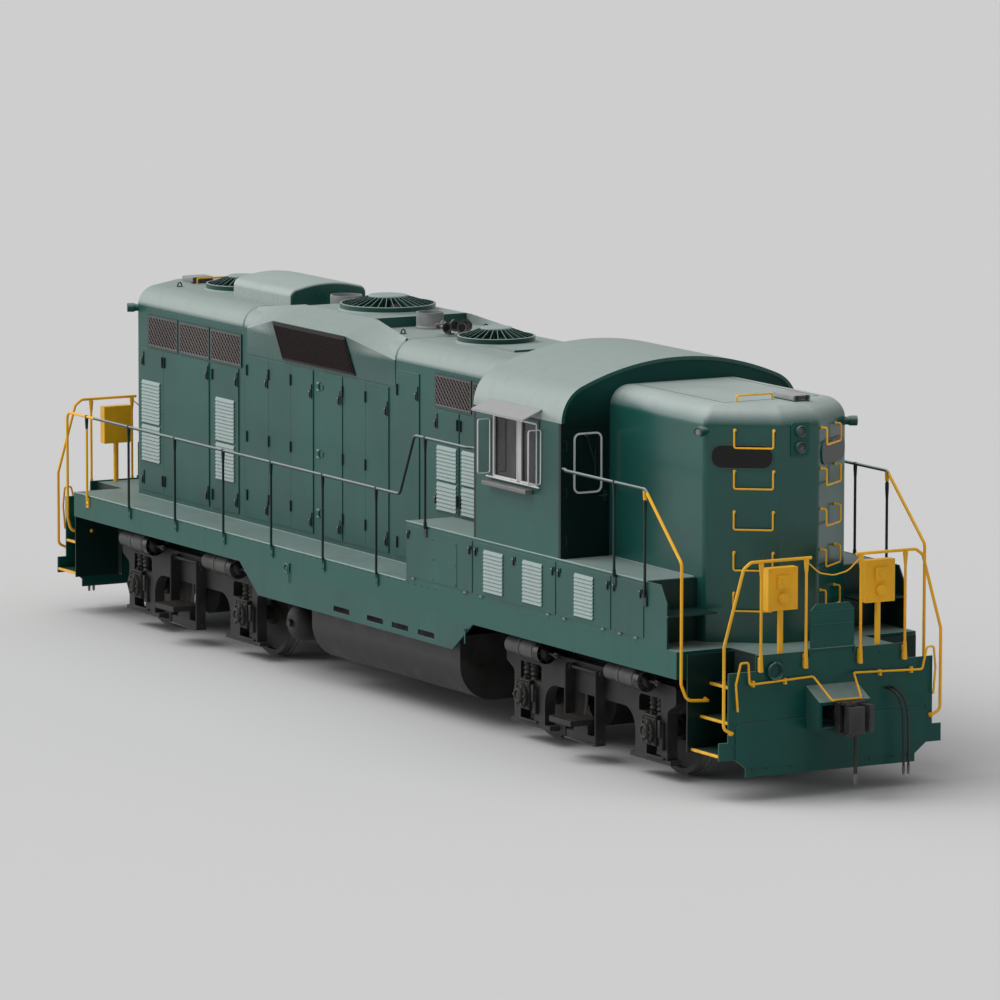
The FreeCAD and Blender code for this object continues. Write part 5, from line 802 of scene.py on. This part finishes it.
# Window frames: white-painted sashes round every pane, wind wings in tube frames beside
# the side windows, and a wiper on each end window. They are screwed to the walls and doors.
white_paint = enamel("white_enamel", (0.70, 0.70, 0.70), (0.68, 0.68, 0.66), 0.3, 0.35, 0.15)
HALF = 1.52
crosswise = Matrix.Rotation(math.pi / 2, 4, "Z") @ upright
bm = bmesh.new()
for _, side in SIDES:
    for first, last in ((3.217, 3.769), (3.815, 4.192)):
        joined(bm, rounded_plate((last - first - 0.004, 0.698), 0.02, 0.022, 0.019),
               Matrix.Translation(((first + last) / 2, side * (HALF + 0.003), 3.349)) @ upright)
    for x in (3.143, 4.266):
        joined(bm, rounded_plate((0.166, 0.612), 0.025, 0.018, 0.010),
               Matrix.Translation((x, side * 1.606, 3.332)) @ crosswise)
    block(bm, (3.779, side * (HALF - 0.010), 3.0), (3.805, side * (HALF + 0.012), 3.70), 0.004)
    block(bm, (3.10, side * (HALF + 0.020), 2.985), (4.27, side * (HALF + 0.036), 3.001), 0.003)
piece_from(bm, "side_window_frames", white_paint)
for name, face, way, side in (("front", 4.694, 1, -1), ("rear", 2.77, -1, 1)):
    for kind, body, place in (("door", "cab_door_" + name, side), ("fixed", "root", -side)):
        bm = bmesh.new()
        joined(bm, rounded_plate((0.362, 0.672), 0.075, 0.012, 0.020),
               Matrix.Translation((face + way * 0.0055, place * 1.18, 3.30)) @ crosswise)
        piece_from(bm, "end_window_frame_%s_%s" % (name, kind), white_paint, body)
        bm = bmesh.new()
        rod(bm, face + way * 0.004, face + way * 0.034, place * 1.20, 3.60, 0.018, 14)
        bar(bm, (face + way * 0.028, place * 1.20, 3.60), (face + way * 0.020, place * 1.10, 3.30), 0.006, 8)
        block(bm, (face + way * 0.006, place * 1.085, 3.14), (face + way * 0.022, place * 1.097, 3.44), 0.002)
        piece_from(bm, "wiper_%s_%s" % (name, kind), dark_paint, body)
    bm = bmesh.new()
    edge, reach = side * 0.955, face + way * 0.040
    block(bm, (face + way * 0.0005, edge - 0.022, 2.86), (face + way * 0.006, edge + 0.022, 2.98), 0.002)
    rod(bm, face + way * 0.004, face + way * 0.045, edge, 2.93, 0.010, 12)
    bar(bm, (reach, edge - side * 0.01, 2.93), (reach, edge + side * 0.10, 2.93), 0.009)
    piece_from(bm, "cab_door_handle_" + name, dark_paint, "cab_door_" + name)
glass_material, tree, shader, coordinates = new_finish("window_glass")
smears = noise(tree, coordinates, 7, 5, (1, 1, 0.4))
coat(tree, shader,
     blended(tree, ramp(tree, smears, 0.4, 0.75), (0.045, 0.044, 0.044), (0.075, 0.074, 0.073)),
     ramp(tree, smears, 0.4, 0.8, 0.05, 0.14))
on_wing = ramp(tree, part_of(tree, coordinates, "Y", True), 1.5195, 1.52, 0.0, 0.62)
tree.links.new(times(tree, ramp(tree, smears, 0.35, 0.8, 0.74, 0.84), on_wing, "SUBTRACT"),
               shader.inputs["Alpha"])
finish(("cab_windows",), glass_material)

# Seats and control stand: pads of black, finely grained leather on steel pans and posts,
# and a sheet-steel stand with a sloped desk, brake handles and gauges.
SEAT_X, SEAT_Y, CAB_FLOOR = 3.467, 1.19, 2.2903
seat_leather, tree, shader, coordinates = new_finish("seat_leather")
worn = noise(tree, coordinates, 9, 5)
coat(tree, shader,
     blended(tree, ramp(tree, worn, 0.4, 0.72), (0.016, 0.015, 0.015), (0.05, 0.046, 0.042)),
     ramp(tree, worn, 0.3, 0.8, 0.42, 0.6))
grain = tree.nodes.new("ShaderNodeTexVoronoi")
grain.inputs["Scale"].default_value = 260
tree.links.new(coordinates, grain.inputs["Vector"])
bumped(tree, shader, grain.outputs["Distance"], 0.0015, 0.6)


def swollen(name, size, middle, most):
    """A padded block: its skin is blown up as cloth, no further than most, and smoothed."""
    part = bmesh.new()
    block(part, [-half for half in size], list(size), min(size) * 0.55)
    shell = bpy.data.meshes.new(name)
    part.to_mesh(shell)
    part.free()
    pad = bpy.data.objects.new(name, shell)
    scene.collection.objects.link(pad)
    remesh = pad.modifiers.new("remesh", "REMESH")
    remesh.mode = "VOXEL"
    remesh.voxel_size = 0.012
    bpy.context.view_layer.update()
    even = bpy.data.meshes.new_from_object(pad.evaluated_get(bpy.context.evaluated_depsgraph_get()))
    pad.modifiers.clear()
    pad.data = even
    before = [vert.co.copy() for vert in even.vertices]
    cloth = pad.modifiers.new("cloth", "CLOTH")
    cloth.settings.use_pressure = True
    cloth.settings.uniform_pressure_force = 4
    cloth.settings.effector_weights.gravity = 0
    for number in range(1, 16):
        scene.frame_set(number)
    blown = pad.evaluated_get(bpy.context.evaluated_depsgraph_get()).to_mesh()
    after = [vert.co.copy() for vert in blown.vertices]
    pad.modifiers.clear()
    scene.frame_set(1)
    for vert, old, new in zip(even.vertices, before, after):
        move = new - old
        vert.co = old + move * min(1, most / max(move.length, 1e-9))
    skin = bmesh.new()
    skin.from_mesh(even)
    bmesh.ops.smooth_vert(skin, verts=skin.verts[:], factor=0.5, use_axis_x=True, use_axis_y=True,
                          use_axis_z=True)
    bmesh.ops.translate(skin, vec=middle, verts=skin.verts[:])
    skin.to_mesh(even)
    skin.free()
    even.shade_smooth()
    even.materials.append(seat_leather)
    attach(pad, "root")
    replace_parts(pad, "cab_seats")


bm = bmesh.new()
for name, side in SIDES:
    y = side * SEAT_Y
    swollen("seat_cushion_" + name, (0.205, 0.195, 0.040), (SEAT_X, y, CAB_FLOOR + 0.490), 0.012)
    swollen("seat_back_" + name, (0.030, 0.185, 0.195), (SEAT_X - 0.195, y, CAB_FLOOR + 0.755), 0.010)
    post(bm, SEAT_X, y, CAB_FLOOR, CAB_FLOOR + 0.02, 0.15, 28, 0.14)
    post(bm, SEAT_X, y, CAB_FLOOR + 0.018, CAB_FLOOR + 0.43, 0.036, 18)
    block(bm, (SEAT_X - 0.20, y - 0.19, CAB_FLOOR + 0.425),
          (SEAT_X + 0.20, y + 0.19, CAB_FLOOR + 0.447), 0.006)
    for across in (-0.10, 0.10):
        foot, bend, top = ((SEAT_X - back, y + across, CAB_FLOOR + level)
                           for back, level in ((0.19, 0.44), (0.234, 0.60), (0.234, 0.86)))
        bar(bm, foot, bend, 0.011)
        bar(bm, bend, top, 0.011)
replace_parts(piece_from(bm, "seat_pedestals", dark_paint), "cab_seats")
bm = bmesh.new()
outline = ((4.074, CAB_FLOOR), (4.494, CAB_FLOOR), (4.494, 3.41), (4.234, 3.41), (4.074, 3.15))
side_face = bm.faces.new([bm.verts.new((x, -0.98, z)) for x, z in outline])
made = bmesh.ops.extrude_face_region(bm, geom=[side_face])["geom"]
bmesh.ops.translate(bm, vec=(0, 0.56, 0), verts=verts_in(made))
bmesh.ops.recalc_face_normals(bm, faces=bm.faces)
bmesh.ops.bevel(bm, geom=bm.edges[:], offset=0.012, affect="EDGES", segments=2, profile=0.5, material=-1)
for number, y in enumerate((-0.90, -0.78, -0.62, -0.50)):
    bar(bm, (4.11, y, 3.20), (4.085, y, 3.225), 0.045 if number % 2 else 0.035, 20)
for y, lean_out in ((-0.86, 0.10), (-0.66, 0.13)):
    bar(bm, (4.08, y, 3.02), (4.08 - lean_out, y, 3.06), 0.011)
    post(bm, 4.08 - lean_out, y, 3.03, 3.11, 0.016, 12)
stand_grey = enamel("stand_grey", (0.12, 0.14, 0.13), (0.2, 0.2, 0.2), 0.2, 0.4)
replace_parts(piece_from(bm, "control_stand", stand_grey), "cab_seats")

# Walkway boxes beside the cab and short hood: folded cases with bolted doors, clips along
# their lower edge and an access panel over the tank.
# The step well at each box's end is painted near black as the shade inside it; faces further out than the box
# fronts take the louvers' pale as a painted highlight.
in_step_well = both(along("X", 6.49, 6.50), along("Y", 1.512, 1.514, unsigned=True, falling=True))
finish(("side_boxes",), enamel("box_enamel", GREEN, GREEN_DUST_AND_HIGHLIGHT, 0.62,
                               masks=((in_step_well, (0.004, 0.030, 0.025)), (outside(1.531), LOUVER_HIGHLIGHT))))
BOX_FACE = 1.5283
bm, clips = bmesh.new(), bmesh.new()
for _, side in SIDES:
    for first, last, *between in ((1.25, 2.74), (2.80, 4.59, 3.695), (4.65, 5.78), (5.84, 6.48)):
        for x in (first + 0.04, last - 0.04, *between):
            latch(bm, bosses, x, 2.13, side, BOX_FACE, 0.05)
        for x in (first + 0.15, last - 0.15):
            block(clips, (x - 0.030, side * (BOX_FACE - 0.003), 1.600),
                  (x + 0.030, side * (BOX_FACE + 0.012), 1.614), 0.003)
            stud(clips, x, 1.616, side, BOX_FACE, BOX_FACE + 0.014, 0.010, 10)
piece_from(bm, "box_latches", black_iron)
# The clips take the same pale paint as the deck-edge strips, a painted highlight.
piece_from(clips, "box_clips", painted_edge_highlight)
piece_from(bosses, "latch_bosses", pale_metal)
bm = bmesh.new()
for _, side in SIDES:
    joined(bm, rounded_plate((0.57, 0.50), 0.02, 0.004),
           Matrix.Translation((2.115, side * 1.5303, 1.885)) @ upright)
    for x in (1.86, 2.37):
        for z in (1.66, 1.885, 2.11):
            stud(bm, x, z, side, 1.530, 1.538, 0.010)
piece_from(bm, "access_panels", green_paint)

# Rails: bent steel tube in cast sockets, bolted to the sill. The long rails are green to
# the last post and yellow beyond it, like the end rails, levers and jumper boxes.
at_post_feet = along("Z", 1.545, 1.55, falling=True)
past_last_post = along("X", 6.575, 6.577, unsigned=True)
finish(("side_handrails",), enamel("side_rail_enamel", (0.004, 0.022, 0.018), GREEN_DUST_AND_HIGHLIGHT, 0.85,
                                   masks=((at_post_feet, PALE_GREEN), (past_last_post, YELLOW))))
finish(("end_handrails", "uncoupling_levers", "jumper_boxes"), yellow_paint)
RAIL, LAST_POST, END_POST, JUMPER = 1.54, 6.53, 7.895, 0.615
TALL_POSTS = [(1.69, 3.25, 2.24), (5.88, 3.25, 2.24), (LAST_POST, 3.10, 2.10)]
sockets, feet = bmesh.new(), bmesh.new()
for _, side in SIDES:
    for x, top, foot in [(x, 2.54, None) for x in POSTS] + TALL_POSTS:
        post(sockets, x, side * RAIL, top - 0.055, top + 0.018, 0.0215, 14)
        post(sockets, x, side * RAIL, top - 0.150, top - 0.050, 0.016, 14, 0.0215)
        if foot:
            post(sockets, x, side * RAIL, foot - 0.012, foot + 0.060, 0.023, 14, 0.019)
for end, way in ENDS:
    for _, side in SIDES:
        for spot in ((way * 7.28, side * 1.23, 1.05), (way * (FACE + 0.006), side * 1.265, 0.765)):
            bmesh.ops.create_icosphere(feet, subdivisions=2, radius=0.028, matrix=Matrix.Translation(spot))
        for y in (0.345, 0.910):
            post(feet, way * END_POST, side * y, 2.440, 2.570, 0.018, 14, 0.029)
            post(feet, way * END_POST, side * y, 1.405, 1.600, 0.029, 14, 0.019)
        if end == "front":
            post(feet, LAST_POST, side * RAIL, 3.135, 3.235, 0.021, 14, 0.026)
        for across in (-0.16, 0.16):
            for z in (2.08, 2.47):
                rod(feet, way * 7.860, way * 7.868, side * (JUMPER + across), z, 0.010)
        rod(feet, way * 7.886, way * 7.898, side * JUMPER, 2.35, 0.032, 20, 0.026)
        rod(feet, way * 7.893, way * 7.905, side * JUMPER, 2.175, 0.050, 24, 0.044)
piece_from(sockets, "post_sockets", enamel("socket_enamel", (0.003, 0.016, 0.013), GREEN_DUST_AND_HIGHLIGHT, 0.2))
piece_from(feet, "rail_feet_and_covers", yellow_paint)

# Hoses: a brake hose under each coupler and a pair of air hoses on each pilot, black
# rubber over cord, dusty in patches. They end in crimped ferrules and cast fittings.
hose_rubber, tree, shader, coordinates = new_finish("hose_rubber")
dusty = noise(tree, coordinates, 18, 5)
coat(tree, shader,
     blended(tree, ramp(tree, dusty, 0.4, 0.7), (0.012, 0.012, 0.012), (0.035, 0.033, 0.031)),
     ramp(tree, dusty, 0.3, 0.7, 0.45, 0.65))
bumped(tree, shader, noise(tree, coordinates, 160, 3), 0.0008, 0.5)
COUPLING, PILOT = 8.52, 7.8603
BRAKE_ROUTE = [(COUPLING - back, y, z) for back, y, z in (
    (0.25, 0.06, 0.7347), (0.25, 0.06, 0.6297), (0.234, 0.048, 0.5197),
    (0.214, 0.034, 0.3997), (0.214, 0.034, 0.2897))]
AIR_ROUTE = [(PILOT + out, y, z) for out, y, z in (
    (0, 0.70, 1.105), (0.075, 0.70, 1.105), (0.14, 0.725, 1.075), (0.18, 0.755, 1.0),
    (0.192, 0.785, 0.9), (0.19, 0.8, 0.78), (0.185, 0.808, 0.65), (0.182, 0.812, 0.52),
    (0.18, 0.815, 0.39), (0.18, 0.815, 0.27))]


def hose(name, route, radius):
    """A hose along the control points of its smooth line."""
    curve = bpy.data.curves.new(name, "CURVE")
    curve.dimensions = "3D"
    curve.bevel_depth = radius
    curve.bevel_resolution = 6
    curve.resolution_u = 10
    curve.use_fill_caps = True
    line = curve.splines.new("NURBS")
    line.points.add(len(route) - 1)
    for point, place in zip(line.points, route):
        point.co = (*place, 1)
    line.order_u = 3
    line.use_endpoint_u = True
    piece = linked(curve, name + "_rubber", hose_rubber)
    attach(piece, "root")
    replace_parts(piece, name)


finish(("hose_ends_front", "hose_ends_rear"),
       cast_iron("fitting_metal", (0.10, 0.10, 0.10), (0.16, 0.15, 0.14), 0.42, 0.0015))
for end, way in ENDS:
    for name, route, shift, radius, length in (("brake_hose_%s", BRAKE_ROUTE, 0, 0.022, 0.449),
                                               ("air_hose_%s_a", AIR_ROUTE, 0, 0.013, 0.972),
                                               ("air_hose_%s_b", AIR_ROUTE, 0.062, 0.013, 0.972)):
        hose(name % end, [(way * x, way * (y + shift), z) for x, y, z in route], radius)
